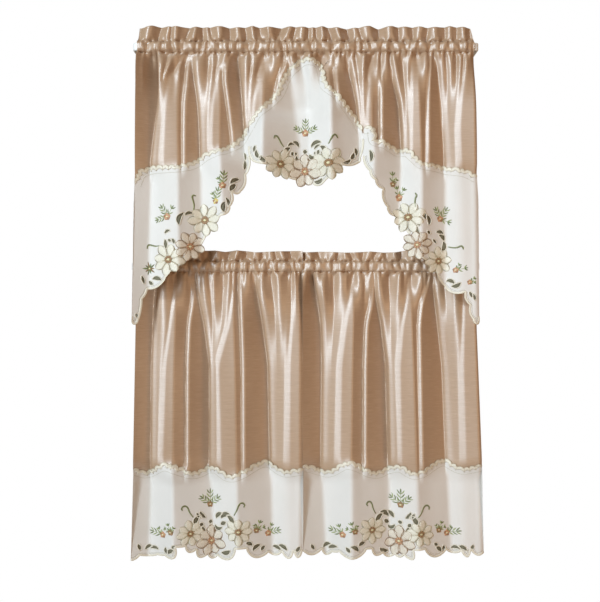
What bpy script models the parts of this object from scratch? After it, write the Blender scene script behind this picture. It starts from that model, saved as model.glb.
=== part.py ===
"""Kitchen curtain set on two curtain rods: a ruffled swag valance and a pair of tiers.

Every cloth is a sheet gathered on its rod.  The tables hold sizes in millimetres as the
cloth hangs: X to the right, Z up from the middle of the valance rod, Y back to the wall.
A Drape works out where each thread of a cloth hangs, from its cut width, the pleats that
the rod pocket draws it into and the broad folds that those settle into lower down.
"""

import math

import bmesh
import bpy
import numpy as np

MM = 0.001

# ---------------------------------------------------------------- driving dimensions
SATIN_THICKNESS = 1.2
WHITE_THICKNESS = 1.2
LAYER_GAP = 0.6             # between a white piece and the satin that it is sewn to
CENTRE_GAP = 1.4            # the same at the centre piece, whose top edge is steep
SEAM_OVERLAP = 12.0         # satin that runs on behind a white piece's scalloped edge

ROD_HEIGHT = 22.0
ROD_THICKNESS = 7.0
ROD_CORNER = 9.0            # radius of the bend, on the middle of the rod's thickness
ROD_CORNER_STEPS = 4
ROD_EDGE = 2.0              # rounding of the rod's long edges
ROD_CLEARANCE = 0.4         # cloth to rod inside a pocket

VALANCE_PROJECTION = 130.0  # wall to the middle of the valance rod
VALANCE_ROD_HALF = 498.0    # middle of the set to the outside of the rod's return
TIER_PROJECTION = 56.0
TIER_ROD_HALF = 514.0
TIER_ROD_Z = -630.0

VALANCE_CUT_WIDTH = 1524.0
TIER_CUT_WIDTH = 762.0

UPPER_STITCH = 15.3         # above the middle of the rod
LOWER_STITCH = -15.6
POCKET_TOP = 11.6           # rows of the pocket, beside the rod
POCKET_BOTTOM = -12.4
POCKET_WAVE = 0.55          # share of a pleat's depth that is left over the rod
RUFFLE_WAVE = 2.0           # rise and fall of the ruffle's top edge
VALANCE_RUFFLE = 55.0       # top of the ruffle above the middle of the rod
TIER_RUFFLE = 43.0

PLEAT_TURN = math.radians(72)   # how far the cloth turns from the rod's line in a pleat
FOLD_TURN = math.radians(56)    # and in a broad fold
RIPPLE = 0.30                   # share of the pleats that is left in the broad folds
FLANK_SHARE = 0.28              # of a trough's cloth from a front down to the trough's bottom
TURN_SHARE = 0.10               # of a trough's cloth that turns round at each bottom and ridge
COLUMNS_PER_PLEAT = 4
SAMPLES = 1200                  # threads across a cloth at which a drape is worked out
SETTLE_DEPTH = 170.0            # below the pocket, where the broad folds' fronts line up
FRONT_REACH = 28.0              # how far the fronts then hang forward of the rod
SOFTEN = 9.0                    # cloth over which a fold's corners are rounded

# Side edges of each cloth: height, left edge, right edge.
VALANCE_EDGES = [
    (60.0, -479.0, 474.0),
    (15.0, -484.0, 484.0),
    (-60.0, -486.0, 485.0),
    (-153.0, -488.0, 486.0),
    (-368.0, -491.0, 491.0),
    (-446.0, -497.0, 496.0),
    (-802.0, -502.0, 498.0),
]
LEFT_TIER_EDGES = [
    (-582.0, -496.0, -13.0),
    (-630.0, -498.0, -11.0),
    (-816.0, -498.5, -12.0),
    (-1227.0, -506.0, -13.0),
    (-1494.0, -517.0, -13.0),
]
RIGHT_TIER_EDGES = [
    (-582.0, -4.0, 497.0),
    (-630.0, -6.5, 499.0),
    (-816.0, -6.5, 500.0),
    (-1227.0, -6.0, 516.0),
    (-1494.0, -6.5, 525.0),
]

# Pleats under a rod, left to right: width as hung, turn, length that it keeps below the rod.
LEFT_TIER_PLEATS = [
    (44.0, 0.90, 120.0),
    (52.0, 1.00, 90.0),
    (45.0, 1.05, 170.0),
    (53.0, 0.95, 70.0),
    (43.0, 1.10, 150.0),
    (54.0, 1.00, 200.0),
    (48.0, 0.95, 80.0),
    (52.0, 1.05, 160.0),
    (45.0, 0.90, 190.0),
    (51.0, 1.00, 100.0),
]
RIGHT_TIER_PLEATS = [
    (47.0, 0.90, 90.0),
    (54.0, 1.05, 160.0),
    (45.0, 0.95, 80.0),
    (53.0, 1.10, 190.0),
    (48.0, 1.00, 110.0),
    (55.0, 0.95, 170.0),
    (46.0, 1.05, 80.0),
    (52.0, 0.90, 150.0),
    (47.0, 1.05, 200.0),
    (56.0, 0.95, 110.0),
]
VALANCE_PLEATS = [
    (45.0, 0.90, 320.0),
    (51.0, 1.05, 260.0),
    (44.0, 1.00, 340.0),
    (52.0, 0.95, 300.0),
    (42.0, 1.10, 330.0),
    (53.0, 1.00, 280.0),
    (47.0, 0.95, 320.0),
    (52.0, 1.05, 220.0),
    (44.0, 1.00, 170.0),
    (50.0, 1.10, 120.0),
    (45.0, 0.95, 90.0),
    (53.0, 1.00, 110.0),
    (47.0, 1.05, 160.0),
    (51.0, 0.90, 230.0),
    (46.0, 1.10, 290.0),
    (54.0, 1.00, 330.0),
    (45.0, 1.05, 270.0),
    (51.0, 0.95, 340.0),
    (46.0, 1.05, 300.0),
    (52.0, 0.95, 320.0),
]

# Broad folds, left to right: width of the rounded front, width of the trough to its right,
# turn, and how steep the low ridge in that trough is beside the front.  The first trough
# runs from the side edge to the first front.
LEFT_TIER_FIRST_TROUGH = 41.0
LEFT_TIER_FOLDS = [
    (79.0, 109.0, 1.00, 0.80),
    (79.0, 103.0, 0.92, 0.95),
    (73.0, 10.0, 1.05, 0.0),
]
RIGHT_TIER_FIRST_TROUGH = 71.0
RIGHT_TIER_FOLDS = [
    (68.0, 116.0, 0.95, 0.90),
    (80.0, 103.0, 1.05, 0.75),
    (82.0, 7.0, 0.90, 0.0),
]
VALANCE_FIRST_TROUGH = 43.0
VALANCE_FOLDS = [
    (91.0, 61.0, 0.95, 0.60),
    (72.0, 74.0, 1.05, 0.75),
    (35.0, 98.0, 1.00, 0.90),
    (98.0, 97.0, 0.90, 0.85),
    (30.0, 75.0, 1.02, 0.80),
    (64.0, 74.0, 1.00, 0.75),
    (84.0, 7.0, 0.95, 0.0),
]
TIER_DRIFT = 26.0           # how far right of its place a fold starts under the rod
TIER_DRIFT_DEPTH = 280.0
VALANCE_DRIFT = 6.0
VALANCE_DRIFT_DEPTH = 200.0

# Scalloped top edges of the white pieces: X, Z of each crest and hollow of the edge.
LEFT_BORDER_TOP = [
    (-508.0, -1226.0), (-473.0, -1240.0), (-411.0, -1211.0), (-326.0, -1237.0),
    (-269.0, -1221.0), (-222.0, -1245.0), (-120.0, -1208.0), (-60.0, -1233.0),
    (-12.0, -1226.0),
]
RIGHT_BORDER_TOP = [
    (-6.0, -1217.0), (62.0, -1237.0), (123.0, -1205.0), (210.0, -1237.0),
    (275.0, -1217.0), (319.0, -1237.0), (406.0, -1203.0), (460.0, -1224.0),
    (520.0, -1213.0),
]
LEFT_SWAG_TOP = [
    (-503.0, -397.0), (-479.0, -359.0), (-447.0, -347.0), (-365.0, -348.0),
    (-334.0, -340.0), (-285.0, -311.0), (-234.0, -297.0), (-208.0, -283.0),
    (-185.0, -265.0), (-164.0, -234.0),
]
CENTRE_TOP = [
    (-161.0, -231.0), (-146.0, -202.0), (-97.0, -153.0), (-79.0, -133.0),
    (-66.0, -96.0), (-45.0, -67.0), (-23.0, -47.0), (-7.0, -38.0),
    (13.0, -38.0), (42.0, -50.0), (50.0, -79.0), (57.0, -115.0),
    (90.0, -146.0), (123.0, -185.0), (145.0, -211.0), (162.0, -243.0),
]
RIGHT_SWAG_TOP = [
    (168.0, -236.0), (194.0, -238.0), (197.0, -278.0), (218.0, -277.0),
    (262.0, -300.0), (293.0, -297.0), (331.0, -340.0), (371.0, -343.0),
    (405.0, -349.0), (459.0, -359.0), (503.0, -376.0),
]

# Lower hems: X and Z of each notch, and how far the lobe to its right hangs below the
# line from that notch to the next.
LEFT_BORDER_HEM = [
    (-520.0, -1471.0, 22.0), (-491.0, -1486.0, 6.0), (-437.0, -1483.0, 2.0),
    (-413.0, -1480.0, 21.0), (-379.0, -1453.0, 0.0), (-354.0, -1453.0, 13.0),
    (-323.0, -1465.0, 17.0), (-291.0, -1483.0, 12.0), (-260.0, -1486.0, 22.0),
    (-204.0, -1459.0, 0.0), (-175.0, -1459.0, 22.0), (-111.0, -1477.0, 12.0),
    (-69.0, -1474.0, 21.0), (-35.0, -1468.0, 20.0), (-10.0, -1468.0, 0.0),
]
RIGHT_BORDER_HEM = [
    (-10.0, -1465.0, 17.0), (47.0, -1471.0, 15.0), (80.0, -1477.0, 2.0),
    (101.0, -1471.0, 20.0), (178.0, -1462.0, 0.0), (194.0, -1463.0, 14.0),
    (228.0, -1479.0, 12.0), (265.0, -1482.0, 8.0), (290.0, -1480.0, 22.0),
    (318.0, -1462.0, 0.0), (348.0, -1460.0, 22.0), (415.0, -1468.0, 10.0),
    (460.0, -1470.0, 20.0), (487.0, -1465.0, 18.0), (530.0, -1462.0, 0.0),
]
LEFT_SWAG_HEM = [
    (-505.0, -800.0, 0.0), (-481.0, -800.0, 0.0), (-473.0, -726.0, 2.0),
    (-459.0, -698.0, 8.0), (-422.0, -696.0, 0.0), (-393.0, -644.0, 14.0),
    (-359.0, -616.0, 18.0), (-293.0, -584.0, 10.0), (-253.0, -540.0, 4.0),
    (-240.0, -492.0, 8.0), (-217.0, -461.0, 6.0), (-212.0, -420.0, 8.0),
    (-187.0, -416.0, 6.0), (-173.0, -368.0, 8.0), (-161.0, -315.0, 0.0),
]
CENTRE_HEM = [
    (-163.0, -287.0, 4.0), (-142.0, -334.0, 6.0), (-116.0, -340.0, 6.0),
    (-93.0, -374.0, 10.0), (-40.0, -398.0, 8.0), (0.0, -400.0, 8.0),
    (40.0, -404.0, 8.0), (74.0, -380.0, 8.0), (107.0, -351.0, 6.0),
    (148.0, -339.0, 4.0), (159.0, -319.0, 4.0), (168.0, -267.0, 0.0),
]
RIGHT_SWAG_HEM = [
    (166.0, -315.0, 4.0), (184.0, -360.0, 4.0), (198.0, -386.0, 6.0),
    (220.0, -408.0, 8.0), (234.0, -461.0, 10.0), (255.0, -489.0, 10.0),
    (277.0, -527.0, 8.0), (297.0, -554.0, 8.0), (300.0, -606.0, 8.0),
    (321.0, -626.0, 10.0), (354.0, -657.0, 8.0), (392.0, -673.0, 8.0),
    (424.0, -701.0, 6.0), (457.0, -707.0, 6.0), (471.0, -744.0, 6.0),
    (491.0, -768.0, 0.0), (495.0, -800.0, 0.0), (507.0, -800.0, 0.0),
]

# Rows of a solid between its lower stitch and its seam, as shares of that height.
SATIN_ROWS = (0.10, 0.27, 0.60)
BORDER_ROWS = ()
SWAG_ROWS = (0.5,)

COLOURS = {
    "satin": (0.47, 0.31, 0.20),
    "white cloth": (0.86, 0.86, 0.84),
    "rod": (0.88, 0.88, 0.87),
}


# ---------------------------------------------------------------- how a cloth hangs
def ease(share):
    """0 to 1 with a soft start and end."""
    share = np.clip(share, 0.0, 1.0)
    return share * share * (3.0 - 2.0 * share)


class Drape:
    """Where the threads of one gathered cloth hang.

    u runs across the cloth from 0 to its cut width.  At each height the cloth's direction
    swings left and right of the rod's line, and its swing is scaled until the cut width
    just fills the width that the cloth hangs in.
    """

    def __init__(self, cut_width, plane, stitch, edges, pleats, first_trough, folds, drift):
        self.cut_width = cut_width
        self.plane = plane
        self.stitch = stitch
        self.edges = edges
        self.drift, self.drift_depth = drift
        self.u = np.linspace(0.0, cut_width, SAMPLES + 1)
        widths = np.array([width for width, turn, reach in pleats])
        self.pleat_ends = np.concatenate([[0.0], np.cumsum(widths)]) * cut_width / widths.sum()
        self.pleated = self.pleat_swing([turn for width, turn, reach in pleats])
        middles = (self.pleat_ends[1:] + self.pleat_ends[:-1]) / 2
        self.reach = np.interp(self.u, middles, [reach for width, turn, reach in pleats])
        self.fronts = None
        self.folded = self.fitted_folds(first_trough, folds)

    def pleat_swing(self, turns):
        index = np.searchsorted(self.pleat_ends, self.u, side="right") - 1
        index = np.clip(index, 0, len(turns) - 1)
        span = np.diff(self.pleat_ends)[index]
        share = (self.u - self.pleat_ends[index]) / span
        return -np.array(turns)[index] * np.sin(2 * math.pi * share)

    def fold_swing(self, arcs, folds):
        """Direction across the broad folds: forward, round each front, back, and over the
        low ridge that lies in each trough."""
        turns = [turn for front, trough, turn, ridge in folds]
        place = arcs[0]
        knots = [(0.0, turns[0]), (0.38 * place, turns[0]),
                 (0.55 * place, -turns[0]), (place, -turns[0])]
        for index, (width, gap, turn, ridge) in enumerate(folds):
            front, trough = arcs[1 + 2 * index], arcs[2 + 2 * index]
            place += front
            knots.append((place, turn))
            if index + 1 < len(turns):
                following = turns[index + 1]
                legs = ((FLANK_SHARE, turn), (0.5, -turn * ridge), (0.5, following * ridge),
                        (1.0 - FLANK_SHARE, -following))
                (down, fall), (middle, rise), (same, drop), (up, climb) = legs
                half = TURN_SHARE / 2
                knots += [(place + (down - half) * trough, fall),
                          (place + (down + half) * trough, rise),
                          (place + (middle - half) * trough, rise),
                          (place + (middle + half) * trough, drop),
                          (place + (up - half) * trough, drop),
                          (place + (up + half) * trough, climb),
                          (place + trough, climb)]
            else:
                knots.append((place + trough, turn))
            place += trough
        swing = np.interp(self.u, [knot[0] for knot in knots], [knot[1] for knot in knots])
        count = max(3, int(SOFTEN / self.cut_width * SAMPLES) | 1)
        padded = np.pad(swing, count // 2, mode="edge")
        return np.convolve(padded, np.ones(count) / count, mode="valid")

    def fitted_folds(self, first_trough, folds):
        """Gives each front and trough the cloth that makes it hang at its width."""
        wanted = [first_trough]
        for front, trough, turn, ridge in folds:
            wanted += [front, trough]
        wanted = np.array(wanted) / sum(wanted)
        arcs = wanted * self.cut_width
        lowest = self.edges[-1][0]
        for attempt in range(12):
            self.folded = self.fold_swing(arcs, folds)
            self.fronts = np.cumsum(arcs)[1::2] - arcs[1::2] / 2
            along = self.threads(lowest)[0]
            ends = np.interp(np.concatenate([[0.0], np.cumsum(arcs)]), self.u, along)
            hung = np.diff(ends) / (ends[-1] - ends[0])
            arcs = arcs * (wanted / hung) ** 0.7
            arcs *= self.cut_width / arcs.sum()
        return self.fold_swing(arcs, folds)

    def side_edges(self, z):
        heights = [row[0] for row in self.edges][::-1]
        left = np.interp(z, heights, [row[1] for row in self.edges][::-1])
        right = np.interp(z, heights, [row[2] for row in self.edges][::-1])
        return left, right

    def swing(self, z):
        """The cloth's direction along u at height z, before it is scaled."""
        depth = max(0.0, self.stitch - z)
        settled = ease((depth - 0.12 * self.reach) / self.reach)
        shift = self.drift * (1.0 - ease(depth / self.drift_depth))
        folded = np.interp(self.u - shift, self.u, self.folded)
        fine = PLEAT_TURN * self.pleated
        return (1.0 - settled) * fine + settled * (FOLD_TURN * folded + RIPPLE * fine)

    def threads(self, z):
        """x and y of every thread at height z."""
        left, right = self.side_edges(z)
        swing = self.swing(z)
        wanted = (right - left) / self.cut_width
        low, high = 0.0, 1.6
        for halving in range(40):
            scale = (low + high) / 2
            if np.mean(np.cos(scale * swing)) > wanted:
                low = scale
            else:
                high = scale
        step = self.cut_width / SAMPLES
        turn = scale * (swing[1:] + swing[:-1]) / 2
        x = np.concatenate([[0.0], np.cumsum(np.cos(turn))]) * step
        y = np.concatenate([[0.0], np.cumsum(np.sin(turn))]) * step
        x = left + x * (right - left) / x[-1]
        y = y - y[-1] * self.u / self.cut_width
        y = y - (y.max() + y.min()) / 2
        settled = ease((self.stitch - z) / SETTLE_DEPTH)
        return x, y + self.plane - settled * (self.front_line(y, z) + FRONT_REACH)

    def front_line(self, y, z):
        """A soft line from each broad fold's front to the next, behind or ahead of the rod."""
        shift = self.drift * (1.0 - ease(max(0.0, self.stitch - z) / self.drift_depth))
        fronts = self.fronts + shift
        levels = np.interp(fronts, self.u, y)
        place = np.clip(self.u, fronts[0], fronts[-1])
        index = np.clip(np.searchsorted(fronts, place, side="right") - 1, 0, len(fronts) - 2)
        share = (place - fronts[index]) / (fronts[index + 1] - fronts[index])
        return levels[index] + (levels[index + 1] - levels[index]) * ease(share)

    def point(self, u, z):
        x, y = self.threads(z)
        return np.interp(u, self.u, x), np.interp(u, self.u, y)

    def columns(self):
        """The threads that the solids are built on: each pleat's valley, flanks and front."""
        steps = np.arange(COLUMNS_PER_PLEAT) / COLUMNS_PER_PLEAT
        spans = np.diff(self.pleat_ends)
        starts = self.pleat_ends[:-1]
        inner = (starts[:, None] + spans[:, None] * steps[None, :]).ravel()
        return np.append(inner, self.cut_width)


# ---------------------------------------------------------------- outlines
def wavy(points, x):
    """An edge that runs softly from crest to hollow."""
    xs = np.array([point[0] for point in points])
    zs = np.array([point[1] for point in points])
    x = np.clip(x, xs[0], xs[-1])
    index = np.clip(np.searchsorted(xs, x, side="right") - 1, 0, len(xs) - 2)
    share = (x - xs[index]) / (xs[index + 1] - xs[index])
    return zs[index] + (zs[index + 1] - zs[index]) * ease(share)


def straight(points, x):
    """An edge that runs straight between its points."""
    return np.interp(x, [point[0] for point in points], [point[1] for point in points])


def lobed(notches, x):
    """A hem that hangs in rounded lobes between its notches."""
    xs = np.array([notch[0] for notch in notches])
    x = np.clip(x, xs[0], xs[-1])
    line = np.interp(x, xs, [notch[1] for notch in notches])
    index = np.clip(np.searchsorted(xs, x, side="right") - 1, 0, len(xs) - 2)
    share = (x - xs[index]) / (xs[index + 1] - xs[index])
    drop = np.array([notch[2] for notch in notches])[index]
    return line - drop * np.sin(math.pi * share) ** 0.7


def heights_along(drape, columns, outline):
    """Height of an outline, drawn as the cloth hangs, on each of a drape's threads."""
    heights = []
    for u in columns:
        z = drape.edges[-1][0] / 2
        for attempt in range(12):
            z = 0.5 * z + 0.5 * float(outline(drape.point(u, z)[0]))
        heights.append(z)
    return np.array(heights)


# ---------------------------------------------------------------- solids
def offset_row(x, y, distance):
    """Moves a row of points forward by a distance square to the row."""
    dx, dy = np.diff(x), np.diff(y)
    length = np.hypot(dx, dy)
    normals = np.stack([dy / length, -dx / length], axis=1)
    before = np.vstack([normals[:1], normals])
    after = np.vstack([normals, normals[-1:]])
    mitre = (before + after) / (1.0 + np.sum(before * after, axis=1))[:, None]
    return x + mitre[:, 0] * distance, y + mitre[:, 1] * distance


def row_points(drape, columns, heights):
    """x, y and z of a row whose height may differ from column to column."""
    x, y = np.empty(len(columns)), np.empty(len(columns))
    cache = {}
    for index, (u, z) in enumerate(zip(columns, heights)):
        key = round(float(z), 3)
        if key not in cache:
            cache[key] = drape.threads(z)
        x[index] = np.interp(u, drape.u, cache[key][0])
        y[index] = np.interp(u, drape.u, cache[key][1])
    return x, y, np.array(heights, dtype=float)


def shifted(row, distance):
    x, y = offset_row(row[0], row[1], distance)
    return np.stack([x, y, row[2]], axis=1)


def strip(bm, upper, lower):
    """Triangles between two rows of vertices, split the same way all along."""
    for index in range(len(upper) - 1):
        bm.faces.new((upper[index], upper[index + 1], lower[index + 1]))
        bm.faces.new((upper[index], lower[index + 1], lower[index]))


def add_rows(bm, rows):
    return [[bm.verts.new(point * MM) for point in row] for row in rows]


def cap(bm, corners):
    """A flat end between two or more corners, split from its first one."""
    for index in range(1, len(corners) - 1):
        bm.faces.new((corners[0], corners[index], corners[index + 1]))


def finish_solid(bm, name, colour, roughness, metallic=0.0):
    bmesh.ops.recalc_face_normals(bm, faces=bm.faces[:])
    mesh = bpy.data.meshes.new(name)
    bm.to_mesh(mesh)
    bm.free()
    mesh.materials.append(plain_material(colour, roughness, metallic))
    mesh.shade_smooth()
    mesh.set_sharp_from_angle(angle=math.radians(50))
    piece = bpy.data.objects.new(name, mesh)
    bpy.context.scene.collection.objects.link(piece)
    return piece


def plain_material(colour, roughness, metallic):
    material = bpy.data.materials.get(colour)
    if material is None:
        material = bpy.data.materials.new(colour)
        material.use_nodes = True
        shader = material.node_tree.nodes["Principled BSDF"]
        shader.inputs["Base Color"].default_value = (*COLOURS[colour], 1.0)
        shader.inputs["Roughness"].default_value = roughness
        shader.inputs["Metallic"].default_value = metallic
    return material


def sheet_solid(name, rows, part, forward, thickness, colour, roughness):
    """A closed sheet on part of some rows, its back `forward` in front of the drape."""
    bm = bmesh.new()
    front = add_rows(bm, [shifted(row, forward + thickness)[part] for row in rows])
    back = add_rows(bm, [shifted(row, forward)[part] for row in rows])
    for index in range(len(rows) - 1):
        strip(bm, front[index], front[index + 1])
        strip(bm, back[index], back[index + 1])
        for end in (0, -1):
            cap(bm, (front[index][end], front[index + 1][end],
                     back[index + 1][end], back[index][end]))
    strip(bm, front[0], back[0])
    strip(bm, front[-1], back[-1])
    return finish_solid(bm, name, colour, roughness)


def pocket_rows(row, forward_side):
    """One layer of the rod pocket, drawn taut in front of the rod or behind it."""
    x, y, z = row
    middle = (y.max() + y.min()) / 2
    wave = (y - middle) * POCKET_WAVE
    reach = ROD_THICKNESS / 2 + ROD_CLEARANCE + SATIN_THICKNESS
    side = -1.0 if forward_side else 1.0
    return x, middle + side * (reach + np.abs(wave).max()) + wave, z


def gathered_solid(name, drape, rod_z, ruffle, seam, thickness):
    """A satin cloth: ruffle, rod pocket with its tunnel, and the body down to its seam."""
    columns = drape.columns()
    bumps = RUFFLE_WAVE * np.cos(2 * math.pi * np.arange(len(columns)) / COLUMNS_PER_PLEAT)
    level = np.full(len(columns), rod_z)
    stitch = level + LOWER_STITCH
    heights = [level + ruffle - bumps, level + UPPER_STITCH, level + POCKET_TOP,
               level + POCKET_BOTTOM, stitch]
    heights += [stitch + (seam - stitch) * share for share in SATIN_ROWS]
    heights += [seam, seam - SEAM_OVERLAP]
    rows = [row_points(drape, columns, height) for height in heights]
    half = thickness / 2

    fronts, backs = list(rows), list(rows)
    for index in (2, 3):
        fronts[index] = pocket_rows(rows[index], True)
        backs[index] = pocket_rows(rows[index], False)
    bm = bmesh.new()
    front = add_rows(bm, [shifted(row, half) for row in fronts])
    back = add_rows(bm, [shifted(row, -half) for row in backs])
    tunnel = add_rows(bm, [shifted(fronts[2], -half), shifted(fronts[3], -half),
                           shifted(backs[3], half), shifted(backs[2], half)])
    for index in range(len(rows) - 1):
        strip(bm, front[index], front[index + 1])
        strip(bm, back[index], back[index + 1])
    strip(bm, front[0], back[0])
    strip(bm, front[-1], back[-1])
    for index in range(4):
        strip(bm, tunnel[index], tunnel[(index + 1) % 4])
    for end in (0, -1):
        f, b = [row[end] for row in front], [row[end] for row in back]
        front_top, front_low, back_low, back_top = [row[end] for row in tunnel]
        cap(bm, (f[1], f[2], front_top))
        cap(bm, (f[1], front_top, back_top, b[1]))
        cap(bm, (b[1], back_top, b[2]))
        cap(bm, (f[2], f[3], front_low, front_top))
        cap(bm, (back_top, back_low, b[3], b[2]))
        cap(bm, (f[3], f[4], front_low))
        cap(bm, (f[4], b[4], back_low, front_low))
        cap(bm, (b[4], b[3], back_low))
        for index in [0] + list(range(4, len(rows) - 1)):
            cap(bm, (f[index], f[index + 1], b[index + 1], b[index]))
    return finish_solid(bm, name, "satin", 0.35)


def white_solid(name, drape, first, last, top, hem, inner_rows, gap):
    """A white piece on the columns from `first` to `last`, from its top edge to its hem."""
    columns = drape.columns()
    upper = heights_along(drape, columns, top)
    lower = heights_along(drape, columns, hem)
    seam = upper - SEAM_OVERLAP
    heights = [upper, seam] + [seam + (lower - seam) * share for share in inner_rows]
    rows = [row_points(drape, columns, height) for height in heights + [lower]]
    forward = SATIN_THICKNESS / 2 + gap
    part = slice(first, last + 1)
    return sheet_solid(name, rows, part, forward, WHITE_THICKNESS, "white cloth", 0.85)


# ---------------------------------------------------------------- rods
def rod_path(half, projection):
    """Middle line of a flat rod: from the wall, along the front, and back to the wall."""
    side = half - ROD_THICKNESS / 2
    path = [(-side, 0.0)]
    for step in range(ROD_CORNER_STEPS + 1):
        turn = math.pi / 2 * step / ROD_CORNER_STEPS
        path.append((-side + ROD_CORNER * (1 - math.cos(turn)),
                     -projection + ROD_CORNER * (1 - math.sin(turn))))
    return path + [(-x, y) for x, y in reversed(path)]


def rod_profile():
    """Corners of the rod's section: outward across its thickness, and up."""
    wide, tall = ROD_THICKNESS / 2, ROD_HEIGHT / 2
    corners = []
    for out, up in ((1, -1), (1, 1), (-1, 1), (-1, -1)):
        steps = (0.0, 90.0)
        for angle in steps if out * up > 0 else reversed(steps):
            turn = math.radians(angle)
            corners.append((out * (wide - ROD_EDGE * (1 - math.cos(turn))),
                            up * (tall - ROD_EDGE * (1 - math.sin(turn)))))
    return corners


def flat_rod(name, half, projection, level):
    path = np.array(rod_path(half, projection))
    x, y = path[:, 0], path[:, 1]
    bm = bmesh.new()
    rings = []
    for out, up in rod_profile():
        along_x, along_y = offset_row(x, y, out)
        height = np.full(len(x), level + up)
        rings.append([bm.verts.new(point * MM)
                      for point in np.stack([along_x, along_y, height], axis=1)])
    for index, ring in enumerate(rings):
        strip(bm, ring, rings[(index + 1) % len(rings)])
    for end in (0, -1):
        bm.faces.new([ring[end] for ring in rings])
    return finish_solid(bm, name, "rod", 0.4, 0.1)


# ---------------------------------------------------------------- the set
def valance_seam(x):
    """Top edge of the three white pieces of the valance, from side to side."""
    return straight(LEFT_SWAG_TOP + CENTRE_TOP + RIGHT_SWAG_TOP, x)


def build_valance():
    drape = Drape(VALANCE_CUT_WIDTH, -VALANCE_PROJECTION, LOWER_STITCH, VALANCE_EDGES,
                  VALANCE_PLEATS, VALANCE_FIRST_TROUGH, VALANCE_FOLDS,
                  (VALANCE_DRIFT, VALANCE_DRIFT_DEPTH))
    columns = drape.columns()
    seam = heights_along(drape, columns, valance_seam)
    gathered_solid("valance_satin", drape, 0.0, VALANCE_RUFFLE, seam, SATIN_THICKNESS)
    hung = np.array([drape.point(u, z)[0] for u, z in zip(columns, seam)])
    left_end = int(np.argmin(np.abs(hung - LEFT_SWAG_TOP[-1][0])))
    centre_end = int(np.argmin(np.abs(hung - CENTRE_TOP[-1][0])))
    last = len(columns) - 1
    pieces = [
        ("valance_swag_left", 0, left_end, LEFT_SWAG_HEM, LAYER_GAP),
        ("valance_centre", left_end + 1, centre_end, CENTRE_HEM, CENTRE_GAP),
        ("valance_swag_right", centre_end + 1, last, RIGHT_SWAG_HEM, LAYER_GAP),
    ]
    for name, start, stop, hem, gap in pieces:
        white_solid(name, drape, start, stop, valance_seam,
                    lambda x, hem=hem: lobed(hem, x), SWAG_ROWS, gap)


def build_tier(side, edges, pleats, first_trough, folds, top, hem):
    drape = Drape(TIER_CUT_WIDTH, -TIER_PROJECTION, TIER_ROD_Z + LOWER_STITCH, edges,
                  pleats, first_trough, folds, (TIER_DRIFT, TIER_DRIFT_DEPTH))
    columns = drape.columns()
    seam = heights_along(drape, columns, lambda x: wavy(top, x))
    gathered_solid("tier_satin_" + side, drape, TIER_ROD_Z, TIER_RUFFLE, seam,
                   SATIN_THICKNESS)
    white_solid("tier_border_" + side, drape, 0, len(columns) - 1,
                lambda x: wavy(top, x), lambda x: lobed(hem, x), BORDER_ROWS, LAYER_GAP)


def main():
    for piece in list(bpy.data.objects):
        bpy.data.objects.remove(piece, do_unlink=True)
    flat_rod("valance_rod", VALANCE_ROD_HALF, VALANCE_PROJECTION, 0.0)
    flat_rod("tier_rod", TIER_ROD_HALF, TIER_PROJECTION, TIER_ROD_Z)
    build_valance()
    build_tier("left", LEFT_TIER_EDGES, LEFT_TIER_PLEATS, LEFT_TIER_FIRST_TROUGH,
               LEFT_TIER_FOLDS, LEFT_BORDER_TOP, LEFT_BORDER_HEM)
    build_tier("right", RIGHT_TIER_EDGES, RIGHT_TIER_PLEATS, RIGHT_TIER_FIRST_TROUGH,
               RIGHT_TIER_FOLDS, RIGHT_BORDER_TOP, RIGHT_BORDER_HEM)


main()
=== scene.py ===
"""Looks of the kitchen curtain set: satin valance and tiers with white embroidered pieces.

Sizes and tables are in millimetres: X to the right, Z up from the middle of the valance rod,
Y back to the wall.  Meshes are made in metres.  The rods keep their own meshes from the
frame.  Every cloth is worked out here, from its cut width and the lines of its folds.
"""
import math

import bpy
import numpy as np
from mathutils import Matrix, Vector
from mathutils.geometry import delaunay_2d_cdt


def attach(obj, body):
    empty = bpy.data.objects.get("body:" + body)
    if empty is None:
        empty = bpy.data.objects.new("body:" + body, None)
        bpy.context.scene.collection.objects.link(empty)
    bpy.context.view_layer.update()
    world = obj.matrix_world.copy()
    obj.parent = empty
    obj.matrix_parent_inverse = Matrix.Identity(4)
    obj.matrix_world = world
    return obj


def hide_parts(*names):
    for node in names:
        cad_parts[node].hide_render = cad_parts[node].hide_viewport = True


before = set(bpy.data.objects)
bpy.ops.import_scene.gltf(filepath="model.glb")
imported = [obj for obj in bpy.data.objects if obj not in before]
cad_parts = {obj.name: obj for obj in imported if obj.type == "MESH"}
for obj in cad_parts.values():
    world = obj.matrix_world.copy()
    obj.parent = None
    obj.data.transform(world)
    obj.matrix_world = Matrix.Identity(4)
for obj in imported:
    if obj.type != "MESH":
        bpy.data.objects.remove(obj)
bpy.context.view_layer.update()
MM = 0.001

# ---------------------------------------------------------------- driving dimensions
CLOTH = 0.5                 # thickness of either cloth
WHITE_FORWARD = 1.9         # white pieces in front of the satin's middle
NET_BEHIND = 0.9            # dark net behind the white cloth's face

VALANCE_PLANE = -130.0
TIER_PLANE = -56.0
TIER_ROD_Z = -630.0
VALANCE_CUT = 1524.0
TIER_CUT = 762.0
UPPER_STITCH = 15.3
LOWER_STITCH = -15.6
VALANCE_RUFFLE = 55.0
TIER_RUFFLE = 43.0
ROD_REACH = 4.6             # middle of the rod to the cloth over its face
SEAM_OVERLAP = 12.0

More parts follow.
